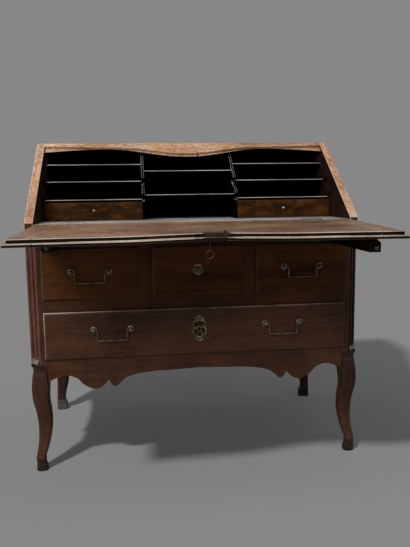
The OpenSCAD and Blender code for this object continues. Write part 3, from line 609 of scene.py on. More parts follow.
    def metals(self) -> None:
        """Makes the metals."""
        self.hinge = metal("hinge_bronze", (0.3, 0.265, 0.235), (0.2, 0.17, 0.145), (0.5, 0.46, 0.42), 0.5)
        self.brass = metal(
            "pierced_brass", (0.46, 0.39, 0.2), (0.12, 0.095, 0.045), (0.9, 0.82, 0.52), 0.34, 0.9
        )
        self.plate_ground = metal(
            "plate_ground", (0.045, 0.03, 0.014), (0.014, 0.008, 0.005), (0.3, 0.25, 0.13)
        )
        self.knob = metal("knob_brass", (0.42, 0.34, 0.22), (0.16, 0.115, 0.06), (0.95, 0.88, 0.7), 0.24)
        self.bronze = metal(
            "handle_bronze", (0.24, 0.195, 0.145), (0.075, 0.058, 0.042), (0.66, 0.58, 0.46), 0.36
        )
        self.steel = metal("key_steel", (0.12, 0.06, 0.038), (0.045, 0.02, 0.012), (0.36, 0.22, 0.15), 0.42)
        self.lock = metal("lock_metal", (0.075, 0.06, 0.045), (0.022, 0.017, 0.012), (0.36, 0.3, 0.22), 0.5)


def everything(bm: Shape) -> list:
    """Returns all vertices, edges and faces of a shape."""
    return bm.verts[:] + bm.edges[:] + bm.faces[:]


def cad_copy(node: str) -> Shape:
    """The merged shape of a construction node, to be worked on.

    Args:
        node: the node's name.

    Returns:
        A new bmesh of its surface, with flat stretches as single faces.
    """
    bm = bmesh.new()
    bm.from_mesh(bpy.data.objects[node].data)
    bmesh.ops.remove_doubles(bm, verts=bm.verts, dist=WELD)
    bmesh.ops.dissolve_limit(bm, angle_limit=math.radians(0.6), verts=bm.verts, edges=bm.edges)
    for face in bm.faces:
        face.material_index = 0
    return bm


def soften(
    bm: Shape, width: float, segments: int = 2, least: float = 30.0, pick: Optional[EdgeTest] = None,
    clamp: bool = True,
) -> list[Face]:
    """Rounds the sharp edges of a shape.

    Args:
        bm: the shape.
        width: width of the rounding in metres.
        segments: faces across it.
        least: smallest angle in degrees that counts as sharp.
        pick: chooses among the sharp edges.
        clamp: whether all roundings shrink together where two would meet.

    Returns:
        The faces of the roundings.
    """
    limit = math.radians(least)
    sharp = [e for e in bm.edges if e.is_manifold and e.calc_face_angle(0.0) > limit]
    return bmesh.ops.bevel(
        bm, geom=[e for e in sharp if pick is None or pick(e)], offset=width, offset_type="OFFSET",
        segments=segments, profile=0.5, affect="EDGES", clamp_overlap=clamp, material=-1,
    )["faces"]


def piece(
    name: str, bm: Shape, body: str, finishes: Sequence[Material],
    stands_for: Iterable[str] = (), crease: float = 38.0,
) -> bpy.types.Object:
    """Makes a finished piece out of a shape.

    Args:
        name: the piece's name.
        bm: its shape, which is used up.
        body: the body that carries it.
        finishes: its materials.
        stands_for: construction nodes that it replaces.
        crease: angle in degrees above which an edge stays sharp.

    Returns:
        The new object.
    """
    bm.normal_update()
    for face in bm.faces:
        face.smooth = True
    for edge in bm.edges:
        edge.smooth = edge.calc_face_angle(math.pi) < math.radians(crease)
    made = shown(name, bm)
    for finish in finishes:
        made.data.materials.append(finish)
    weighted = made.modifiers.new("WeightedNormal", "WEIGHTED_NORMAL")
    weighted.keep_sharp = True
    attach(made, body)
    if stands_for:
        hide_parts(*stands_for)
    log.info("%s: %d faces on %s", name, len(made.data.polygons), body)
    return made


def shown(name: str, bm: Shape) -> bpy.types.Object:
    """Puts a shape into the scene.

    Args:
        name: the object's name.
        bm: its shape, which is used up.

    Returns:
        The new object.
    """
    mesh = bpy.data.meshes.new(name)
    bm.to_mesh(mesh)
    bm.free()
    made = bpy.data.objects.new(name, mesh)
    bpy.context.scene.collection.objects.link(made)
    return made


def dress(node: str, finish: Material) -> None:
    """Gives a construction node, which stays as it is, its finish.

    Args:
        node: the node's name.
        finish: the material.
    """
    mesh = bpy.data.objects[node].data
    mesh.materials.clear()
    mesh.materials.append(finish)
    log.info("%s: dressed", node)


def block(bm: Shape, low: Sequence[float], high: Sequence[float]) -> list[Vert]:
    """Adds a box.

    Args:
        bm: the shape to add to.
        low: its lowest corner.
        high: its highest corner.

    Returns:
        Its vertices.
    """
    low_v, high_v = Vector(low), Vector(high)
    place = Matrix.Translation((low_v + high_v) / 2) @ Matrix.Diagonal((*(high_v - low_v), 1.0))
    return bmesh.ops.create_cube(bm, size=1.0, matrix=place)["verts"]


def inset(bm: Shape, faces: list[Face], thick: float, depth: float) -> None:
    """Steps faces in.

    Args:
        bm: the shape.
        faces: the faces, as one region.
        thick: how far their outline moves inwards.
        depth: how far they move out of their plane.
    """
    bmesh.ops.inset_region(
        bm, faces=faces, thickness=thick, depth=depth, use_even_offset=True, use_boundary=True
    )


def loop_edges(loop: Sequence[Vert]) -> list[Edge]:
    """Returns the edges within a loop of vertices, in the loop's order."""
    return list(dict.fromkeys(e for v in loop for e in v.link_edges if all(w in loop for w in e.verts)))


def grow(bm: Shape, loop: Sequence[Vert]) -> list[Vert]:
    """Extrudes an open end.

    Args:
        bm: the shape.
        loop: the end's vertices.

    Returns:
        The new end's vertices, in the same order.
    """
    grown = bmesh.ops.extrude_edge_only(bm, edges=loop_edges(loop))["geom"]
    fresh = [g for g in grown if isinstance(g, Vert)]
    after = {e.other_vert(v): v for v in fresh for e in v.link_edges if e.other_vert(v) in loop}
    return [after[v] for v in loop]


def tube(bm: Shape, path: Sequence[Vector], radius: Thickness, flat: Vector, sides: int = 12) -> None:
    """Sweeps an oval along a path and closes its ends.

    Args:
        bm: the shape to add to.
        path: points along the middle.
        radius: half width in the plane and half height out of it, for a share of the way.
        flat: normal of the plane that the path mostly lies in.
        sides: corners of the oval.
    """
    ring = bmesh.ops.create_circle(bm, cap_ends=False, radius=1.0, segments=sides)["verts"]
    unit = [v.co.copy() for v in ring]
    loops = [ring]
    last = len(path) - 1
    for _ in range(last):
        loops.append(grow(bm, loops[-1]))
    for i, loop in enumerate(loops):
        ahead = (path[min(i + 1, last)] - path[max(i - 1, 0)]).normalized()
        out = (flat - ahead * flat.dot(ahead)).normalized()
        side = ahead.cross(out)
        wide, high = radius(i / last)
        for vert, spot in zip(loop, unit):
            vert.co = path[i] + side * (spot.x * wide) + out * (spot.y * high)
    for loop in (loops[0], loops[-1]):
        bmesh.ops.contextual_create(bm, geom=loop_edges(loop))


def closed(bm: Shape) -> Shape:
    """Merges a shape's doubles and turns its faces outwards.

    Args:
        bm: the shape.

    Returns:
        The same shape.
    """
    bmesh.ops.remove_doubles(bm, verts=bm.verts, dist=WELD)
    bmesh.ops.recalc_face_normals(bm, faces=bm.faces)
    return bm


def curve_through(points: Sequence[Sequence[float]], steps: int) -> list[Vector]:
    """A smooth line through a few points.

    Args:
        points: the points.
        steps: steps between two points.

    Returns:
        The line's points.
    """
    spots = [Vector(p) for p in points]
    line = []
    for i in range(len(spots) - 1):
        a, b = spots[max(i - 1, 0)], spots[i]
        c, d = spots[i + 1], spots[min(i + 2, len(spots) - 1)]
        for t in (k / steps for k in range(steps)):
            bend = (2 * a - 5 * b + 4 * c - d) * t * t + (3 * b - a - 3 * c + d) * t ** 3
            line.append(0.5 * (2 * b + (c - a) * t + bend))
    line.append(spots[-1])
    return line


def turned(
    bm: Shape, profile: Profile, unit: tuple[float, float], foot: Vector, axis: Vector, sides: int
) -> None:
    """Turns a profile on a lathe.

    Args:
        bm: the shape to add to.
        profile: pairs of distance along the axis and radius.
        unit: what one unit of each is in metres.
        foot: where the axis starts.
        axis: the axis' direction.
        sides: steps round it.
    """
    across = axis.orthogonal().normalized()
    verts = [bm.verts.new(foot + axis * (a * unit[0]) + across * max(r * unit[1], 1e-6)) for a, r in profile]
    edges = [bm.edges.new(pair) for pair in zip(verts, verts[1:])]
    made = bmesh.ops.spin(
        bm, geom=verts + edges, cent=foot, axis=axis, angle=2 * math.pi, steps=sides, use_merge=True,
        use_duplicate=False,
    )
    touched = dict.fromkeys([*verts, *(v for v in made["geom_last"] if isinstance(v, Vert))])
    bmesh.ops.remove_doubles(bm, verts=list(touched), dist=WELD)


def turned_knob(node: str, body: str, finish: Material, profile: Profile, sides: int) -> None:
    """Turns a knob that fills its node's box.

    Args:
        node: the knob's node.
        body: the body that carries it.
        finish: its metal.
        profile: pairs of distance and radius, as shares of the knob's.
        sides: steps round it.
    """
    low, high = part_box(node)
    middle = (low + high) / 2
    bm = bmesh.new()
    unit = (high.y - low.y, (high.x - low.x) / 2)
    turned(bm, profile, unit, Vector((middle.x, high.y, middle.z)), FORWARD, sides)
    piece(f"{node}_turned", closed(bm), body, [finish], [node], 60.0)


def cut(shape: Shape, tool: Shape) -> Shape:
    """Cuts one shape out of another.

    Args:
        shape: what is cut, which is used up.
        tool: the cutter, which is used up.

    Returns:
        The cut shape.
    """
    objects = [shown("cutting", bm) for bm in (shape, tool)]
    difference = objects[0].modifiers.new("Cut", "BOOLEAN")
    difference.operation = "DIFFERENCE"
    difference.solver = "EXACT"
    difference.object = objects[1]
    graph = bpy.context.evaluated_depsgraph_get()
    graph.update()
    result = bmesh.new()
    result.from_mesh(objects[0].evaluated_get(graph).to_mesh())
    for made in objects:
        mesh = made.data
        bpy.data.objects.remove(made)
        bpy.data.meshes.remove(mesh)
    return result


@dataclass
class Board:
    """A board or frame member that keeps its constructed outline and gets rounded, worn edges."""

    node: str
    finish: Material
    slot: str
    body: str = "case"
    edge: float = 1.2 * MM
    segments: int = 2
    parts: Sequence[tuple[Material, FaceTest]] = ()
    arris_finish: Optional[Material] = None
    arris_test: Optional[FaceTest] = None
    slices: int = 1
    pick: Optional[EdgeTest] = None
    clamp: bool = True

    def slice(self, bm: Shape) -> None:
        """Cuts the long faces crosswise, so that each stays simple.

        Args:
            bm: the board's shape.
        """
        low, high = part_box(self.node)
        for i in range(1, self.slices):
            x = low.x + (high.x - low.x) * i / self.slices
            bmesh.ops.bisect_plane(bm, geom=everything(bm), dist=WELD, plane_co=(x, 0, 0), plane_no=(1, 0, 0))

    def build(self) -> bpy.types.Object:
        """Builds the board.

        Returns:
            The dressed board.
        """
        bm = cad_copy(self.node)
        self.slice(bm)
        finishes = [self.finish, *(finish for finish, _ in self.parts)]
        for face in bm.faces:
            face.material_index = next((k for k, (_, test) in enumerate(self.parts, 1) if test(face)), 0)
        rounded = soften(bm, self.edge, self.segments, pick=self.pick, clamp=self.clamp)
        if self.arris_test is not None:
            bm.normal_update()
            for face in rounded:
                if self.arris_test(face):
                    face.material_index = len(finishes)
            finishes.append(self.arris_finish)
        return piece(f"{self.node}_finished", bm, self.body, finishes, [self.node])


@dataclass
class Case:
    """The carcase: sides, cheeks, top, rails, backs and the boards inside."""

    finishes: Finishes
    rail_plane: float = 0.0
    back_planks: int = 4

    def slanted(self, face: Face) -> bool:
        """Says whether a face lies on the slant."""
        return face.normal.dot(SLANT_OUT) > 0.9

    def front_arris(self, face: Face) -> bool:
        """Says whether a rounding lies at the front of a slanted member."""
        return face.normal.dot(SLANT_OUT) > 0.3

    def inward(self, face: Face) -> bool:
        """Says whether a face of a cheek looks into the desk."""
        return face.normal.x * face.calc_center_median().x < 0.0 and abs(face.normal.x) > 0.9

    def rail_edge(self, face: Face) -> bool:
        """Says whether a rounding of the rail lies on its rubbed lower edge."""
        return self.rail_plane - SLANT_OUT.dot(face.calc_center_median()) > 5 * MM and face.normal.y < -0.2

    def rail_arris(self, edge: Edge) -> bool:
        """Says whether an edge of the rail lies away from the cheeks."""
        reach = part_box("top_rail")[1].x - 1 * MM
        return any(abs(v.co.x) < reach for v in edge.verts)

    def apron_edge(self, edge: Edge) -> bool:
        """Says whether an edge of the apron lies away from the posts and the drawer."""
        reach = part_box("front_apron")[1]
        return all(abs(v.co.x) < reach.x - 3 * MM and v.co.z < reach.z - WELD for v in edge.verts)

    def boards(self) -> list[Board]:
        """Describes the members that keep their constructed outline.

        Returns:
            The members.
        """
        f = self.finishes
        # the cheeks' inward faces take the darker inner-cheek wood: painted shade
        cheek = dict(
            edge=2.4 * MM, segments=3, parts=((f.worn_slant, self.slanted), (f.shaded_cheek_in, self.inward)),
            arris_finish=f.rubbed, arris_test=self.front_arris,
        )
        return [
            *(Board(f"{side}_side_panel", f.side, "case_wood", edge=1.3 * MM) for side in SIDES),
            *(Board(f"{side}_cheek", f.side, "worn_wood", **cheek) for side in SIDES),
            Board("top_board", f.case, "worn_wood", edge=1.5 * MM),
            Board("top_rail", f.worn, "worn_wood", edge=2.6 * MM, segments=3,
                  arris_finish=f.rubbed, arris_test=self.rail_edge, pick=self.rail_arris),
            # the bed's upward face takes the whitish bed wood: painted sheen, partly bleached
            Board("writing_bed", f.case, "fall_wood", edge=0.8 * MM,
                  parts=((f.bed, lambda face: face.normal.z > 0.9),)),
            Board("loper_rail", f.case, "case_wood", edge=1.0 * MM),
            Board("mid_rail", f.case, "case_wood", edge=0.8 * MM),
            Board("muntins", f.case_up, "case_wood", edge=0.6 * MM),
            Board("front_apron", f.apron, "case_wood", edge=1.5 * MM, segments=3, slices=36,
                  pick=self.apron_edge),
            Board("upper_dust_board", f.raw, "secondary_wood", edge=0.6 * MM),
            Board("case_bottom", f.back, "secondary_wood", edge=0.8 * MM),
        ]

    def planked(self, node: str) -> bpy.types.Object:
        """Builds a back as upright planks.

        Args:
            node: the back's node.

        Returns:
            The planked back.
        """
        low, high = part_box(node)
        bm = bmesh.new()
        width = (high.x - low.x) / self.back_planks
        for i in range(self.back_planks):
            x = low.x + i * width
            block(bm, (x, low.y, low.z), (x + width, high.y, high.z))
        soften(bm, 1.0 * MM)
        for face in bm.faces:
            # the upper back's inside faces take the near-black interior wood: painted shade
            face.material_index = 1 if node == "upper_back" and face.normal.y < -0.1 else 0
        finishes = [self.finishes.back, self.finishes.shade_black_inner_up]
        return piece(f"{node}_planks", bm, "case", finishes, [node])

    def build(self) -> None:
        """Builds every member of the carcase."""
        self.rail_plane = max(SLANT_OUT.dot(v.co) for v in bpy.data.objects["left_cheek"].data.vertices)
        for board in self.boards():
            board.build()
        for node in ("upper_back", "lower_back"):
            self.planked(node)
        for node in ("drawer_guides", "loper_channels"):
            dress(node, self.finishes.raw)


def bell(distance: float, width: float) -> float:
    """Returns a bump that is 1 at no distance and fades over the width."""
    return math.exp(-(distance / width) ** 2)


class PostPart(IntEnum):
    """Parts of a post, in the order of its finishes."""

    LEG = 0
    HOOF = 1
    SHAFT = 2
    TOE = 3


@dataclass
class CornerPost:
    """A corner post with its cabriole leg, drawn from its outer corner inwards.

    A row of the leg gives the share of its height, the middle and the half widths along x and y, in mm.
    The places and reaches of its ridge, cleft, bands and squared top are shares of its height too.
    """

    node: str
    finishes: Finishes
    front: bool
    leg_top: float = 345 * MM
    post_width: float = 55 * MM
    cant: float = 35 * MM
    toe_height: float = 16 * MM
    hoof_share: float = 0.118
    band: float = 0.06
    band_turn: float = 190
    cleft: float = 7.0 * MM
    cleft_at: float = 0.03
    cleft_reach: float = 0.05
    ridge: float = 1.1 * MM
    ridge_at: float = 0.7
    ridge_reach: float = 0.22
    round_power: float = 0.62
    square_power: float = 0.26
    square_from: float = 0.62
    square_over: float = 0.2
    block_low: float = 282 * MM
    block_thick: float = 26 * MM
    block_depth: float = 62 * MM
    block_foot: float = 20 * MM
    sides: int = 64
    rings: int = 84
    front_rows: tuple = (
        (0, 20.5, 20.5, 18.2, 18.2), (0.04, 20, 20, 17.4, 17.4), (0.085, 18.5, 18.5, 14.8, 14.8),
        (0.112, 18.5, 18.5, 16.4, 16.4), (0.135, 18.5, 18.5, 14.6, 14.6), (0.175, 22.5, 22.5, 16.2, 16.2),
        (0.26, 29, 29, 18, 18), (0.36, 33.5, 33.5, 20.5, 20.5), (0.46, 34.5, 34.5, 22.5, 22.5),
        (0.56, 32, 32, 24, 24), (0.68, 26.5, 26.5, 26, 26), (0.8, 27, 27, 27.3, 27.3),
        (0.89, 28.5, 28.5, 25.5, 25.5), (0.95, 30, 30, 23.5, 23.5), (1, 28, 31, 27.5, 29),
    )
    rear_rows: tuple = (
        (0, 18.5, 20, 22.5, 20), (0.055, 18.5, 20, 21.5, 19), (0.105, 17, 22, 19, 20),
        (0.125, 15.5, 22, 16.5, 17), (0.2, 18, 26, 17.5, 18), (0.36, 26, 31, 22.5, 22),
        (0.56, 28, 31, 25, 25), (0.8, 28, 31, 26, 28), (1, 28, 31, 26, 29),
    )

    def frame(self) -> tuple[Vector, float, float]:
        """Finds the post's outer corner.

        Returns:
            The corner on the floor and the signs of the ways inwards along x and y.
        """
        across = [v.co.x for v in bpy.data.objects[self.node].data.vertices if v.co.z > self.leg_top]
        right = sum(across) > 0
        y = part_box("mid_rail")[0].y if self.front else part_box("lower_back")[1].y
        corner = Vector((max(across) if right else min(across), y, 0.0))
        return corner, -1.0 if right else 1.0, 1.0 if self.front else -1.0

    def section(self, share: float) -> tuple[float, float, float, float]:
        """The leg's section at a height.

        Args:
            share: height as a share of the leg's.

        Returns:
            The middle's x and y and the half widths along x and y, in metres.
        """
        rows = self.front_rows if self.front else self.rear_rows
        line = curve_through([(r[0], r[1], r[2]) for r in rows], 8)
        sizes = curve_through([(r[0], r[3], r[4]) for r in rows], 8)
        last = len(line) - 1
        i = max(1, next((k for k, p in enumerate(line) if p.x >= share), last))
        t = (share - line[i - 1].x) / max(line[i].x - line[i - 1].x, 1e-9)
        middle = line[i - 1].lerp(line[i], t)
        half = sizes[i - 1].lerp(sizes[i], t)
        return middle.y * MM, middle.z * MM, half.y * MM, half.z * MM

    def spot(self, angle: float, share: float) -> Vector:
        """A point on the leg's surface, in the post's own corner frame.

        Args:
            angle: direction round the leg in radians.
            share: height as a share of the leg's.

        Returns:
            The point.
        """
        cx, cy, ax, ay = self.section(share)
        turned_away = 1 - math.cos(angle - math.radians(225))
        rise = min(max((share - self.square_from) / self.square_over, 0.0), 1.0)
        squared = turned_away / 2 * rise * rise * (3 - 2 * rise)
        power = self.round_power - (self.round_power - self.square_power) * squared
        c, s = math.cos(angle), math.sin(angle)
        x = math.copysign(abs(c) ** power, c) * ax
        y = math.copysign(abs(s) ** power, s) * ay
        carved = -self.ridge * bell(share - self.ridge_at, self.ridge_reach)
        if share < self.hoof_share:
            band = 1 - self.band * (1 + math.cos(share * self.band_turn)) / 2
            x, y = x * band, y * band
            carved += self.cleft * bell(share - self.cleft_at, self.cleft_reach)
        carved *= 0.7 * bell(turned_away, 0.02)
        return Vector((cx + x + carved, cy + y + carved, share * self.leg_top))

    def leg(self, bm: Shape) -> None:
        """Builds the leg from the floor to the post by growing rings.

        Args:
            bm: the shape to add to.
        """
        corner, sx, sy = self.frame()
        loop = bmesh.ops.create_circle(bm, cap_ends=True, radius=1.0, segments=self.sides)["verts"]
        angles = [math.atan2(v.co.y, v.co.x) for v in loop]
        for i in range(self.rings + 1):
            if i:
                loop = grow(bm, loop)
            for vert, angle in zip(loop, angles):
                p = self.spot(angle, i / self.rings)
                vert.co = corner + Vector((sx * p.x, sy * p.y, p.z))
        bmesh.ops.contextual_create(bm, geom=loop_edges(loop))

    def toes(self, bm: Shape) -> None:
        """Carves the curled toes in which the fluted corner ends.

        Args:
            bm: the shape to add to.
        """
        corner, sx, sy = self.frame()
        out = Vector((-sx, -sy, 0.0)).normalized()
        along = Vector((sx, -sy, 0.0)).normalized()
        middle = corner + Vector((sx, sy, 0.0)) * (self.cant / 2)
        for k, size in ((-0.3, 0.8), (0.0, 0.95), (0.3, 0.8)):
            foot = middle + along * (k * self.cant)
            curl = (
                (-3.0, 24), (0.5, 18), (2.6 * size, 11), (4.2 * size, 3), (3.4 * size, -5), (0.4 * size, -8),
                (-4.0, -7),
            )
            points = [foot + out * (o * MM) + Vector((0.0, 0.0, self.leg_top + z * MM)) for o, z in curl]

            def thick(t: float, scale: float = size * MM) -> tuple[float, float]:
                """Returns a toe's half width and height, swelling towards its end."""
                swell = math.sin(math.pi * min(t * 1.15, 1.0)) ** 1.5
                return (2.2 + 3.6 * swell) * scale, (2.0 + 2.2 * t) * scale

            tube(bm, curve_through(points, 4), thick, out, 14)

    def upper(self) -> Shape:
        """Builds the post above the leg, with the blocks behind the leg that carry it.

        Returns:
            The shape.
        """
        bm = cad_copy(self.node)
        cut_z = self.leg_top - 0.5 * MM
        bmesh.ops.bisect_plane(
            bm, geom=everything(bm), plane_co=(0, 0, cut_z), plane_no=(0, 0, 1), clear_inner=True
        )
        bmesh.ops.holes_fill(bm, edges=[e for e in bm.edges if e.is_boundary], sides=0)
        soften(bm, 0.9 * MM, 2, 40.0)
        corner, sx, sy = self.frame()
        w, thick, foot = self.post_width, self.block_thick, self.block_foot
        depth = self.block_depth if self.front else w
        for a, b in (((w - thick, 0.6 * MM), (w, depth)), ((7 * MM, depth - thick), (w, depth))):
            xs = sorted(corner.x + sx * p[0] for p in (a, b))
            ys = sorted(corner.y + sy * p[1] for p in (a, b))
            for vert in block(bm, (xs[0], ys[0], self.block_low), (xs[1], ys[1], self.leg_top)):
                if vert.co.z < self.block_low + WELD:
                    vert.co.x = corner.x + sx * max(sx * (vert.co.x - corner.x), foot)
                    vert.co.y = corner.y + sy * max(sy * (vert.co.y - corner.y), foot)
        return bm

    def lower(self) -> Shape:
        """Builds the leg with its hoof and, in front, its toes.

        Returns:
            The shape, each face with the index of its finish.
        """
        bm = bmesh.new()
        self.leg(bm)
        if self.front:
            plain = set(bm.faces)
            self.toes(bm)
            for face in bm.faces:
                curl = face not in plain and face.calc_center_median().z < self.leg_top + self.toe_height
                face.material_index = PostPart.TOE if curl else PostPart.LEG
        closed(bm)
        for face in bm.faces:
            if face.material_index != PostPart.TOE:
                hoof = face.calc_center_median().z < self.hoof_share * self.leg_top
                face.material_index = PostPart.HOOF if hoof else PostPart.LEG
        return bm

    def build(self) -> bpy.types.Object:
        """Builds the post.

        Returns:
            The dressed post.
        """
        bm, leg = self.upper(), self.lower()
        held = bpy.data.meshes.new("leg")
        leg.to_mesh(held)
        leg.free()
        bm.from_mesh(held)
        bpy.data.meshes.remove(held)
        corner, sx, sy = self.frame()
        for face in bm.faces:
            middle = face.calc_center_median()
            if middle.z > self.leg_top and face.material_index == PostPart.LEG:
                inwards = max(sx * (middle.x - corner.x), sy * (middle.y - corner.y))
                shaft = self.front and inwards < self.cant + 1 * MM
                face.material_index = PostPart.SHAFT if shaft else PostPart.LEG
        f = self.finishes
        hoof = f.pale_hoof if self.node == "rear_left_post" else f.hoof
        # the left fluted corner gets the brighter post wood and the right one its darker copy: painted light
        # and shade
        finishes = [f.leg, hoof, f.post if corner.x < 0 else f.shade_post, f.toe]
        name = self.node.replace("post", "leg_and_post")
        return piece(name, bm, "case", finishes, [self.node])


@dataclass
class Pigeonholes:
    """The fitted inside: uprights, shelves and two small drawers."""

    finishes: Finishes
    lip: float = 2.2 * MM
    knob: tuple = (
        (0, 0), (0, 0.95), (0.06, 1.0), (0.12, 0.92), (0.18, 0.5), (0.3, 0.38), (0.42, 0.5), (0.5, 0.78),
        (0.58, 0.97), (0.68, 1.0), (0.8, 0.88), (0.9, 0.6), (0.94, 0.4), (0.97, 0.36), (1.0, 0.2), (1.0, 0),
    )

    def small_front(self, side: str) -> None:
        """Builds a small drawer's front with a fine scratched bead.

        Args:
            side: left or right.
        """
        name = f"{side}_small_front"
        bm = bmesh.new()
        block(bm, *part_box(name))
        front = [f for f in bm.faces if f.normal.y < -0.9]
        for thick, depth in ((1.0 * MM, 0.0), (0.6 * MM, -0.7 * MM), (0.6 * MM, 0.7 * MM)):
            inset(bm, front, thick, depth)
        soften(bm, 0.5 * MM, 2, 50.0)
        body = f"{side}_small_drawer"
        piece(f"{name}_finished", bm, body, [self.finishes.small], [name])

    def build(self) -> None:
        """Builds the uprights, shelves and small drawers."""
        f = self.finishes
        # unit_top, and below it the dividers and shelves, take the near-black interior woods: painted shade
        for node, finish in (("unit_sides", f.unit_side), ("unit_top", f.inner)):
            Board(node, finish, "interior_wood", edge=self.lip, segments=3).build()
        lit = (
            ("unit_dividers", f.shade_black_inner_up, 0.12),
            ("bay_shelves", f.inner, 0.2),
            ("centre_shelves", f.inner, 0.2),
        )
        # the up-facing front roundings take the pale edge wood: painted highlight
        for node, finish, rise in lit:
            Board(
                node, finish, "interior_wood", edge=self.lip, segments=3, arris_finish=f.shelf_edge_highlight,
                arris_test=lambda face, least=rise: face.normal.y < -0.2 and face.normal.z > least,
            ).build()
        for side in SIDES:
            body = f"{side}_small_drawer"
            self.small_front(side)
            turned_knob(f"{side}_small_knob", body, f.knob, self.knob, 32)
            Board(f"{side}_small_box", f.raw, "secondary_wood", body, 0.6 * MM).build()


@dataclass
class MainDrawer:
    """A large drawer: moulded front, box and, on some, a lock with its pierced plate.

    A scroll of the plate gives its points as shares of the plate's size and its thickness at each end. The
    plate is then plate_share wide and 1 high.
    """

    name: str
    finishes: Finishes
    plate: Optional[str] = None
    round_corner: bool = False
    low: bool = False
    bead: float = 6 * MM
    rise: float = 2.5 * MM
    moulding_steps: int = 5
    corner_radius: float = 9 * MM
    keyhole_radius: float = 2.6 * MM
    keyhole_slot: float = 1.4 * MM
    keyhole_drop: float = 8 * MM
    plate_depth: float = 6.6 * MM
    plate_share: float = 0.54
    scrolls: tuple = (
        (((0.05, 0.30), (0.15, 0.29), (0.225, 0.19), (0.215, 0.07), (0.15, 0.03), (0.11, 0.09),
          (0.145, 0.13)), 0.021, 0.009),
        (((0.15, 0.03), (0.22, -0.02), (0.235, -0.12), (0.19, -0.23), (0.10, -0.25), (0.07, -0.19),
          (0.12, -0.16)), 0.020, 0.009),
        (((0.0, 0.485), (0.05, 0.44), (0.12, 0.435), (0.135, 0.375), (0.09, 0.335), (0.055, 0.365),
          (0.08, 0.39)), 0.017, 0.008),
        (((0.0, -0.475), (0.045, -0.42), (0.11, -0.39), (0.125, -0.33), (0.075, -0.29), (0.045, -0.325)),
         0.017, 0.008),
        (((0.03, 0.30), (0.025, 0.36), (0.0, 0.42)), 0.022, 0.006),
        (((0.04, -0.27), (0.02, -0.34), (0.0, -0.40)), 0.018, 0.006),
        (((0.13, 0.30), (0.17, 0.35), (0.155, 0.40)), 0.014, 0.005),
    )

    def plate_box(self) -> tuple[Vector, Vector]:
        """Finds the plate's outer face.

        Returns:
            Its lowest and its highest corner.
        """
        face_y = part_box(self.plate)[0].y + 0.5 * MM
        spots = [v.co for v in bpy.data.objects[self.plate].data.vertices if v.co.y < face_y]
        low, high = (Vector([pick(spot[i] for spot in spots) for i in range(3)]) for pick in (min, max))
        return low, high

    def moulding(self) -> list[tuple[float, float]]:
        """Works out the steps from the front's edge to its field.

        Returns:
            The thickness and depth of each step.
        """
        span = self.bead - 2.4 * MM
        steps = [(0.9 * MM, 0.0)]
        for i in range(self.moulding_steps):
            a, b = (math.pi / 2 * k / self.moulding_steps for k in (i, i + 1))
            steps.append((span * (math.cos(a) - math.cos(b)), self.rise * (math.sin(b) - math.sin(a))))
        return steps + [(0.5 * MM, 0.0), (0.35 * MM, -0.8 * MM), (0.6 * MM, 0.0), (0.35 * MM, 0.8 * MM)]

    def front(self) -> None:
        """Builds the front: thumb moulding, fine groove, and top and left facets painted as highlight."""
        node = f"{self.name}_front"
        low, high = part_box(node)
        bm = bmesh.new()
        lip_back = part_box("mid_rail")[0].y - 0.3 * MM
        block(bm, (low.x, low.y + self.rise, low.z), (high.x, lip_back, high.z))
        if self.round_corner:
            upper = {v for v in bm.verts if v.co.x < low.x + WELD and v.co.z > high.z - WELD}
            corner = [e for e in bm.edges if upper.issuperset(e.verts)]
            bmesh.ops.bevel(
                bm, geom=corner, offset=self.corner_radius, offset_type="OFFSET", segments=6, profile=0.5,
                affect="EDGES", material=-1,
            )
        field = [f for f in bm.faces if f.normal.y < -0.9]
        for thick, depth in self.moulding():
            inset(bm, field, thick, depth)
        # facets facing up, and facets facing left on the left half, take the pale bead wood: painted
        # highlight
        bm.normal_update()
        for facet in bm.faces:
            n, c = facet.normal, facet.calc_center_median()
            above = n.z > 0.15 and (not self.low or c.z > (low.z + high.z) / 2)
            beside = n.x < -0.15 and c.x < (low.x + high.x) / 2
            if -0.97 < n.y < -0.1 and (above or beside):
                facet.material_index = 1
        box_low, box_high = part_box(f"{self.name}_box")
        block(bm, (box_low.x, lip_back, box_low.z), (box_high.x, box_low.y, box_high.z))
        if self.plate is not None:
            bm = self.keyhole(bm, low.y)
        f = self.finishes
        finishes = [f.low_drawer, f.low_bead_highlight] if self.low else [f.drawer, f.bead]
        piece(f"{node}_moulded", bm, self.name, finishes, [node], 32.0)

    def keyhole(self, bm: Shape, y: float) -> Shape:
        """Cuts the keyhole behind the plate.

        Args:
            bm: the front, which is used up.
            y: where its face stands.

        Returns:
            The cut front.
        """
        x, _, z = sum(self.plate_box(), Vector()) / 2
        hole = bmesh.new()
        turn = Matrix.Translation((x, y, z)) @ Matrix.Rotation(math.pi / 2, 4, "X")
        radius, wide = self.keyhole_radius, self.keyhole_slot
        bmesh.ops.create_cone(
            hole, cap_ends=True, segments=24, radius1=radius, radius2=radius, depth=30 * MM, matrix=turn
        )
        slot = bmesh.new()
        block(slot, (x - wide, y - 5 * MM, z - self.keyhole_drop), (x + wide, y + 15 * MM, z))
        return cut(cut(bm, hole), slot)

    def half(self, front: bool) -> Shape:
        """The lock's plate or the case behind it.

        Args:
            front: whether the plate is kept.

        Returns:
            The half's shape.
        """
        bm = cad_copy(self.plate)
        split = (0, self.plate_box()[0].y + self.plate_depth, 0)
        bmesh.ops.bisect_plane(
            bm, geom=everything(bm), plane_co=split, plane_no=(0, 1, 0), clear_inner=not front,
            clear_outer=front,
        )
        return bm

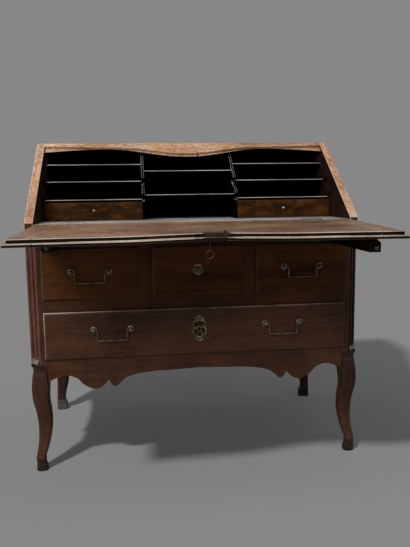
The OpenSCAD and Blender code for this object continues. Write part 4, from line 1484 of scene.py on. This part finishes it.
    def lock(self) -> None:
        """Builds the pierced plate with its scrolls and the lock case behind."""
        f = self.finishes
        piece(f"{self.name}_lock_case", self.half(False), self.name, [f.lock])
        plate = self.half(True)
        for face in plate.faces:
            face.material_index = 1
        self.relief(plate)
        finishes = [f.brass, f.plate_ground]
        piece(f"{self.name}_escutcheon", plate, self.name, finishes, [self.plate], 50.0)

    def relief(self, bm: Shape) -> None:
        """Adds scrolls, leaves, the rim round the keyhole and two pins.

        Args:
            bm: the plate's shape to add to.
        """
        low, high = self.plate_box()
        middle = (low + high) / 2
        wide, height = (high.x - low.x) / self.plate_share, high.z - low.z
        size = (wide + height) / 2
        for points, thick, thin in self.scrolls:
            line = curve_through([(*q, 0) for q in points], 5)
            for sign in (1, -1):
                path = [middle + Vector((sign * p.x * wide, 0.0, p.y * height)) for p in line]

                def taper(t: float, a: float = thick, b: float = thin) -> tuple[float, float]:
                    """Returns a scroll's half width and height."""
                    return (a + (b - a) * t) * size, (a + (b - a) * t) * size * 0.75

                tube(bm, path, taper, FORWARD, 8)
        rim = [
            middle + Vector((0.066 * wide * math.sin(a), 0.0, (0.105 * math.cos(a) - 0.02) * height))
            for a in (2 * math.pi * i / 28 for i in range(29))
        ]
        tube(bm, rim, lambda t: (0.014 * size, 0.014 * size), FORWARD, 8)
        pin = ((0, 0.022), (0.006, 0.022), (0.014, 0.016), (0.018, 0.006), (0.018, 0.0))
        for z in (0.40, -0.30):
            turned(bm, pin, (size, size), middle + Vector((0, 0, z * height)), FORWARD, 12)

    def build(self) -> None:
        """Builds the drawer's front, box and lock."""
        self.front()
        Board(f"{self.name}_box", self.finishes.raw, "secondary_wood", self.name, 0.8 * MM).build()
        if self.plate is not None:
            self.lock()


@dataclass
class BailHandle:
    """A swinging bail of square outline."""

    node: str
    finishes: Finishes
    arm_inset: float = 11.5 * MM
    corner: float = 6 * MM
    swell: float = 0.18

    def path(self, spots: Sequence[Vector]) -> list[Vector]:
        """A line through the bail's corners, each rounded.

        Args:
            spots: its ends and corners.

        Returns:
            The line's points.
        """
        ways = [(b - a).normalized() for a, b in zip(spots, spots[1:])]
        last = len(ways) - 1
        line: list[Vector] = []
        for i, way in enumerate(ways):
            start = spots[i] + way * (self.corner if i else 0.0)
            end = spots[i + 1] - way * (self.corner if i < last else 0.0)
            count = 6 if 0 < i < last else 2
            line += [start.lerp(end, k / count) for k in range(count + 1)]
            if i < last:
                bend, after = spots[i + 1], spots[i + 1] + ways[i + 1] * self.corner
                line += [end.lerp(bend, t).lerp(bend.lerp(after, t), t) for t in (0.25, 0.5, 0.75)]
        return line

    def build(self) -> None:
        """Bends the bail from one round bar, thicker along its grip."""
        low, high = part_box(self.node)
        radius = (high.y - low.y) / 2
        y = (low.y + high.y) / 2
        top, foot = high.z - radius, low.z + radius
        a0, a1 = low.x + self.arm_inset, high.x - self.arm_inset
        corners = ((low.x, top), (a0, top), (a0, foot), (a1, foot), (a1, top), (high.x, top))
        path = self.path([Vector((x, y, z)) for x, z in corners])
        last = len(path) - 1

        def thick(t: float) -> tuple[float, float]:
            """The bar's radius, swelling along the grip.

            Args:
                t: share of the way along the bar.

            Returns:
                The radius in the bail's plane and out of it.
            """
            spot = path[min(int(round(t * last)), last)]
            away = abs(spot.x - (low.x + high.x) / 2) / ((a1 - a0) / 2)
            grip = 1.0 if spot.z < foot + 1 * MM else 0.0
            swell = 1.0 + self.swell * grip * max(0.0, 1 - away ** 2)
            return radius * swell, radius * min(swell, 1.0)

        bm = bmesh.new()
        tube(bm, path, thick, FORWARD, 12)
        bronze = [self.finishes.bronze]
        piece(f"{self.node}_bent", closed(bm), self.node, bronze, [self.node], 60.0)


@dataclass
class BailPosts:
    """The posts of one drawer's bails, each a turned rose with a round head.

    The rose's profile is in mm. The head's gives shares of its depth, from the bail's axis, and radii in mm.
    """

    node: str
    body: str
    bails: tuple[str, ...]
    finishes: Finishes
    rose: tuple = (
        (0, 0), (0, 10.6), (0.5, 10.9), (1.0, 10.6), (1.3, 9.3), (1.6, 8.9), (2.0, 9.1), (2.4, 8.0),
        (2.7, 5.6), (3.2, 4.2), (5.0, 3.4),
    )
    head: tuple = (
        (-0.92, 4.0), (-0.7, 5.8), (-0.35, 6.9), (0, 7.2), (0.4, 6.8), (0.72, 5.2), (0.82, 3.4), (0.9, 2.8),
        (1, 1.4), (1, 0),
    )

    def build(self) -> None:
        """Turns a rose, a neck and a head at each end of each bail."""
        bm = bmesh.new()
        post_low, post_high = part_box(self.node)
        for bail in self.bails:
            low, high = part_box(bail)
            y = (low.y + high.y) / 2
            z = high.z - (high.y - low.y) / 2
            axis, reach = (post_high.y - y) / MM, (y - post_low.y) / MM
            profile = [*self.rose, *((axis + reach * share, radius) for share, radius in self.head)]
            for x in (low.x, high.x):
                turned(bm, profile, (MM, MM), Vector((x, post_high.y, z)), FORWARD, 28)
        bronze = [self.finishes.bronze]
        piece(f"{self.node}_turned", closed(bm), self.body, bronze, [self.node], 50.0)


@dataclass
class Fall:
    """The fall: panel, cleats, hinges, lock and key."""

    finishes: Finishes
    arris: float = 1.7 * MM
    beside_lock: float = 2 * MM
    shortest_edge: float = 5 * MM
    wire: float = 2.0 * MM
    collar: tuple = (
        (-0.6, 0), (-0.6, 2.2), (0.6, 3.6), (1.6, 3.9), (2.4, 3.4), (3.0, 2.6), (3.8, 2.5), (4.6, 3.3),
        (5.4, 3.4), (6.0, 2.6), (7.0, 2.2),
    )

    def outline(self, edge: Edge) -> bool:
        """Says whether an edge belongs to the fall's outline, away from its lock.

        Args:
            edge: the edge.

        Returns:
            True for the edges that are rounded.
        """
        low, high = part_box("fall_lock")
        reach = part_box("fall_board")[1].x + 5 * MM
        middle = (edge.verts[0].co + edge.verts[1].co) / 2
        at_lock = low.x - self.beside_lock < middle.x < high.x + self.beside_lock
        if at_lock or edge.calc_length() < self.shortest_edge:
            return False
        return any(
            face.normal.y < -0.5 or (abs(face.normal.x) > 0.9 and abs(face.calc_center_median().x) > reach)
            for face in edge.link_faces
        )

    def board(self, node: str, finish: Material) -> None:
        """Builds the panel or cleats: worn front edges, painted highlight on top, painted shade on edge
        faces.

        Args:
            node: the node.
            finish: the wood of its faces.
        """
        Board(
            node, finish, "fall_wood", "fall", self.arris, 3,
            parts=((self.finishes.fall_edge_shade, lambda face: -0.98 < face.normal.z < 0.5),),
            arris_finish=self.finishes.fall_arris_highlight,
            arris_test=lambda face: face.normal.y < -0.15 and face.normal.z > 0.2,
            pick=self.outline, clamp=False,
        ).build()

    def key(self) -> None:
        """Builds the key: bow, collar and stem."""
        low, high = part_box("fall_key")
        outer = (high.x - low.x) / 2
        wire, bend = self.wire, outer - self.wire
        centre = Vector(((low.x + high.x) / 2, (low.y + high.y) / 2, low.z + outer))
        bm = bmesh.new()
        turns = [2 * math.pi * i / 48 for i in range(49)]
        ring = [centre + Vector((math.sin(a) * bend, 0.0, math.cos(a) * bend * 0.98)) for a in turns]
        tube(bm, ring, lambda t: (wire * (0.85 + 0.35 * math.cos(math.pi * t) ** 2), wire * 0.8), FORWARD, 12)
        foot = centre + Vector((0, 0, outer))
        top = (high.z - foot.z) / MM
        profile = (*self.collar, (top - 2, 2.2), (top, 2.0), (top, 0))
        turned(bm, profile, (MM, MM), foot, Vector((0, 0, 1)), 20)
        piece("fall_key_forged", closed(bm), "key", [self.finishes.steel], ["fall_key"], 50.0)

    def build(self) -> None:
        """Builds every piece of the fall."""
        f = self.finishes
        self.board("fall_board", f.fall)
        self.board("fall_cleats", f.cleat)
        Board("fall_lock", f.lock, "lock_brass", "fall", 0.5 * MM).build()
        Board("lock_bolt", f.steel, "lock_steel", "bolt", 0.4 * MM).build()
        Board("fall_hinge_leaves", f.hinge, "lock_brass", "fall", 0.25 * MM).build()
        Board("bed_hinge_leaves", f.hinge, "lock_brass", "case", 0.25 * MM).build()
        self.key()


@dataclass
class Loper:
    """A sliding support of the fall with its small knob."""

    side: str
    finishes: Finishes
    knob: tuple = (
        (0, 0), (0, 0.7), (0.06, 0.74), (0.14, 0.6), (0.22, 0.4), (0.35, 0.42), (0.48, 0.75), (0.6, 0.97),
        (0.72, 1.0), (0.85, 0.85), (0.95, 0.5), (1.0, 0.2), (1.0, 0),
    )

    def build(self) -> None:
        """Builds the bar and turns the knob."""
        body = f"{self.side}_loper"
        Board(body, self.finishes.loper, "case_wood", body, 1.4 * MM, 3).build()
        turned_knob(f"{body}_knob", body, self.finishes.bronze, self.knob, 24)


@dataclass
class Studio:
    """Floor, light and camera. None of it belongs to the desk. Lengths are in metres."""

    grey: float = 0.2423
    photo_size: tuple[int, int] = (410, 547)
    focal_pixels: float = 581.61
    camera_x: float = -0.1867
    camera_before_case: float = 1.7884
    camera_z: float = 0.8668
    yaw: float = math.radians(6.6864)
    pitch: float = math.radians(-7.8693)
    roll: float = math.radians(-0.7943)
    lamp_x: float = -2.68
    lamp_before_case: float = 3.03
    lamp_z: float = 5.56
    lamp_size: float = 0.45
    key_level: float = 1.0
    fill_level: float = 0.45
    box_x: float = -2.3
    box_before_case: float = 3.5
    box_z: float = 4.1
    box_size: float = 2.6
    box_level: float = 0.75
    shade_glow: float = 0.036
    fade: tuple[float, float] = (2.4, 4.0)
    front_fade: tuple[float, float] = (-0.15, -0.55)
    floor_size: float = 40.0
    case_front: float = 0.0

    def before_case(self, x: float, distance: float, z: float) -> Vector:
        """Returns a place at a distance in front of the case."""
        return Vector((x, self.case_front - distance, z))

    def lamp_place(self) -> Vector:
        """Returns where the lamp stands."""
        return self.before_case(self.lamp_x, self.lamp_before_case, self.lamp_z)

    def camera(self) -> None:
        """Sets up the camera at the photograph's angle."""
        level = Vector((math.cos(self.yaw), -math.sin(self.yaw), 0.0))
        ahead = Vector((math.sin(self.yaw), math.cos(self.yaw), 0.0)) * math.cos(self.pitch)
        ahead.z = math.sin(self.pitch)
        up = level.cross(ahead)
        right = level * math.cos(self.roll) + up * math.sin(self.roll)
        top = up * math.cos(self.roll) - level * math.sin(self.roll)
        data = bpy.data.cameras.new("photo_camera")
        data.sensor_fit = "AUTO"
        data.sensor_width = 36.0
        data.lens = data.sensor_width * self.focal_pixels / max(self.photo_size)
        data.clip_start = 0.05
        data.clip_end = 60.0
        made = bpy.data.objects.new("photo_camera", data)
        bpy.context.scene.collection.objects.link(made)
        turn = Matrix((right, top, -ahead)).transposed().to_4x4()
        place = self.before_case(self.camera_x, self.camera_before_case, self.camera_z)
        made.matrix_world = Matrix.Translation(place) @ turn
        bpy.context.scene.camera = made

    def hang(self, name: str, place: Vector, aim: Vector, size: float, energy: float) -> bpy.types.Object:
        """Hangs a round lamp.

        Args:
            name: the lamp's name.
            place: where it hangs.
            aim: the point that it faces.
            size: its diameter.
            energy: its power.

        Returns:
            The lamp.
        """
        data = bpy.data.lights.new(name, "AREA")
        data.shape = "DISK"
        data.size = size
        data.energy = energy
        made = bpy.data.objects.new(name, data)
        bpy.context.scene.collection.objects.link(made)
        made.rotation_euler = (aim - place).to_track_quat("-Z", "Y").to_euler()
        made.location = place
        return made

    def lamps(self, floor: bpy.types.Object) -> None:
        """Hangs the lamp that lights the floor and the soft box that lights the desk.

        Args:
            floor: the floor.
        """
        place = self.lamp_place()
        energy = self.key_level * math.pi ** 2 * place.length ** 3 / place.z
        low = self.hang("floor_lamp", place, Vector(), self.lamp_size, energy)
        aim = Vector((0.0, self.case_front, 0.6))
        place = self.before_case(self.box_x, self.box_before_case, self.box_z)
        energy = self.box_level * math.pi ** 2 * (place - aim).length ** 2
        box = self.hang("soft_box", place, aim, self.box_size, energy)
        for lamp, state in ((low, "INCLUDE"), (box, "EXCLUDE")):
            reached = bpy.data.collections.new(f"{lamp.name}_receivers")
            reached.objects.link(floor)
            reached.collection_objects[0].light_linking.link_state = state
            lamp.light_linking.receiver_collection = reached

    def world(self) -> None:
        """Fills in from all round and shows the same grey behind the desk."""
        world = bpy.data.worlds.new("studio")
        bpy.context.scene.world = world
        world.use_nodes = True
        g = Graph(world.node_tree)
        rays = g.add("ShaderNodeLightPath").outputs
        seen = g.maths("MAXIMUM", rays["Is Camera Ray"], rays["Is Transmission Ray"])
        fill = g.add("ShaderNodeBackground", {"Color": (1.0, 1.0, 1.0), "Strength": self.fill_level})
        backdrop = g.add("ShaderNodeBackground", {"Color": (self.grey,) * 3})
        mix = g.add("ShaderNodeMixShader", {0: seen, 1: fill.outputs[0], 2: backdrop.outputs[0]})
        g.add("ShaderNodeOutputWorld", {"Surface": mix.outputs[0]})

    def floor_finish(self) -> Material:
        """Makes the floor's plain matt paper, evened out against the lamp's fall-off.

        Returns:
            The material.
        """
        g = Paint("floor_paper")
        place = g.place()
        lamp = self.lamp_place()
        ray = g.vector("SUBTRACT", place, tuple(lamp)).outputs[0]
        length = g.vector("LENGTH", ray).outputs["Value"]
        facing = g.vector("DOT_PRODUCT", ray, tuple(-lamp.normalized())).outputs["Value"]
        level = g.maths("DIVIDE", facing, g.maths("POWER", length, 4.0))
        key = g.maths("MULTIPLY", level, self.key_level * lamp.length ** 3)
        total = g.maths("ADD", key, self.fill_level)
        even = g.maths("DIVIDE", self.grey - self.shade_glow, total)
        g.set(Base_Color=g.maths("MINIMUM", even, 0.8), Roughness=0.95, Specular_IOR_Level=0.0)
        far = g.vector("LENGTH", place).outputs["Value"]
        seen = g.add("ShaderNodeLightPath").outputs["Is Camera Ray"]
        apart = g.add("ShaderNodeSeparateXYZ", {0: place}).outputs["Y"]
        ends = g.maths("MAXIMUM", g.ramp(far, *self.fade), g.ramp(apart, *self.front_fade))
        glow = g.add("ShaderNodeEmission", {"Color": (self.grey,) * 3})
        lift = g.add("ShaderNodeEmission", {"Color": (self.shade_glow,) * 3, "Strength": seen})
        near = g.add("ShaderNodeAddShader", {0: g.shader.outputs[0], 1: lift.outputs[0]})
        mix = g.add("ShaderNodeMixShader", {0: g.times(ends, seen), 1: near.outputs[0], 2: glow.outputs[0]})
        g.feed(g.output.inputs["Surface"], mix.outputs[0])
        return g.material

    def floor(self) -> bpy.types.Object:
        """Lays the floor.

        Returns:
            The floor.
        """
        bm = bmesh.new()
        bmesh.ops.create_grid(bm, x_segments=1, y_segments=1, size=self.floor_size)
        made = shown("floor", bm)
        made.data.materials.append(self.floor_finish())
        return made

    def build(self) -> None:
        """Sets up camera, lamps, fill and floor."""
        self.case_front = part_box("mid_rail")[0].y
        self.camera()
        self.lamps(self.floor())
        self.world()
        bpy.context.scene.view_settings.view_transform = "Standard"


def main() -> None:
    """Loads the frame and builds the desk round it."""
    logging.basicConfig(level=logging.INFO, format="%(name)s %(message)s")
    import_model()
    Studio().build()
    finishes = Finishes()
    Case(finishes).build()
    for side in SIDES:
        CornerPost(f"front_{side}_post", finishes, True).build()
        CornerPost(f"rear_{side}_post", finishes, False).build()
    Pigeonholes(finishes).build()
    MainDrawer("left_drawer", finishes, round_corner=True).build()
    MainDrawer("centre_drawer", finishes, "centre_drawer_lock").build()
    MainDrawer("right_drawer", finishes).build()
    MainDrawer("long_drawer", finishes, "long_drawer_lock", low=True).build()
    for bail in ("left_bail", "right_bail", "long_left_bail", "long_right_bail"):
        BailHandle(bail, finishes).build()
    BailPosts("left_bail_posts", "left_drawer", ("left_bail",), finishes).build()
    BailPosts("right_bail_posts", "right_drawer", ("right_bail",), finishes).build()
    BailPosts("long_bail_posts", "long_drawer", ("long_left_bail", "long_right_bail"), finishes).build()
    Fall(finishes).build()
    for side in SIDES:
        Loper(side, finishes).build()


if __name__ == "__main__":
    main()
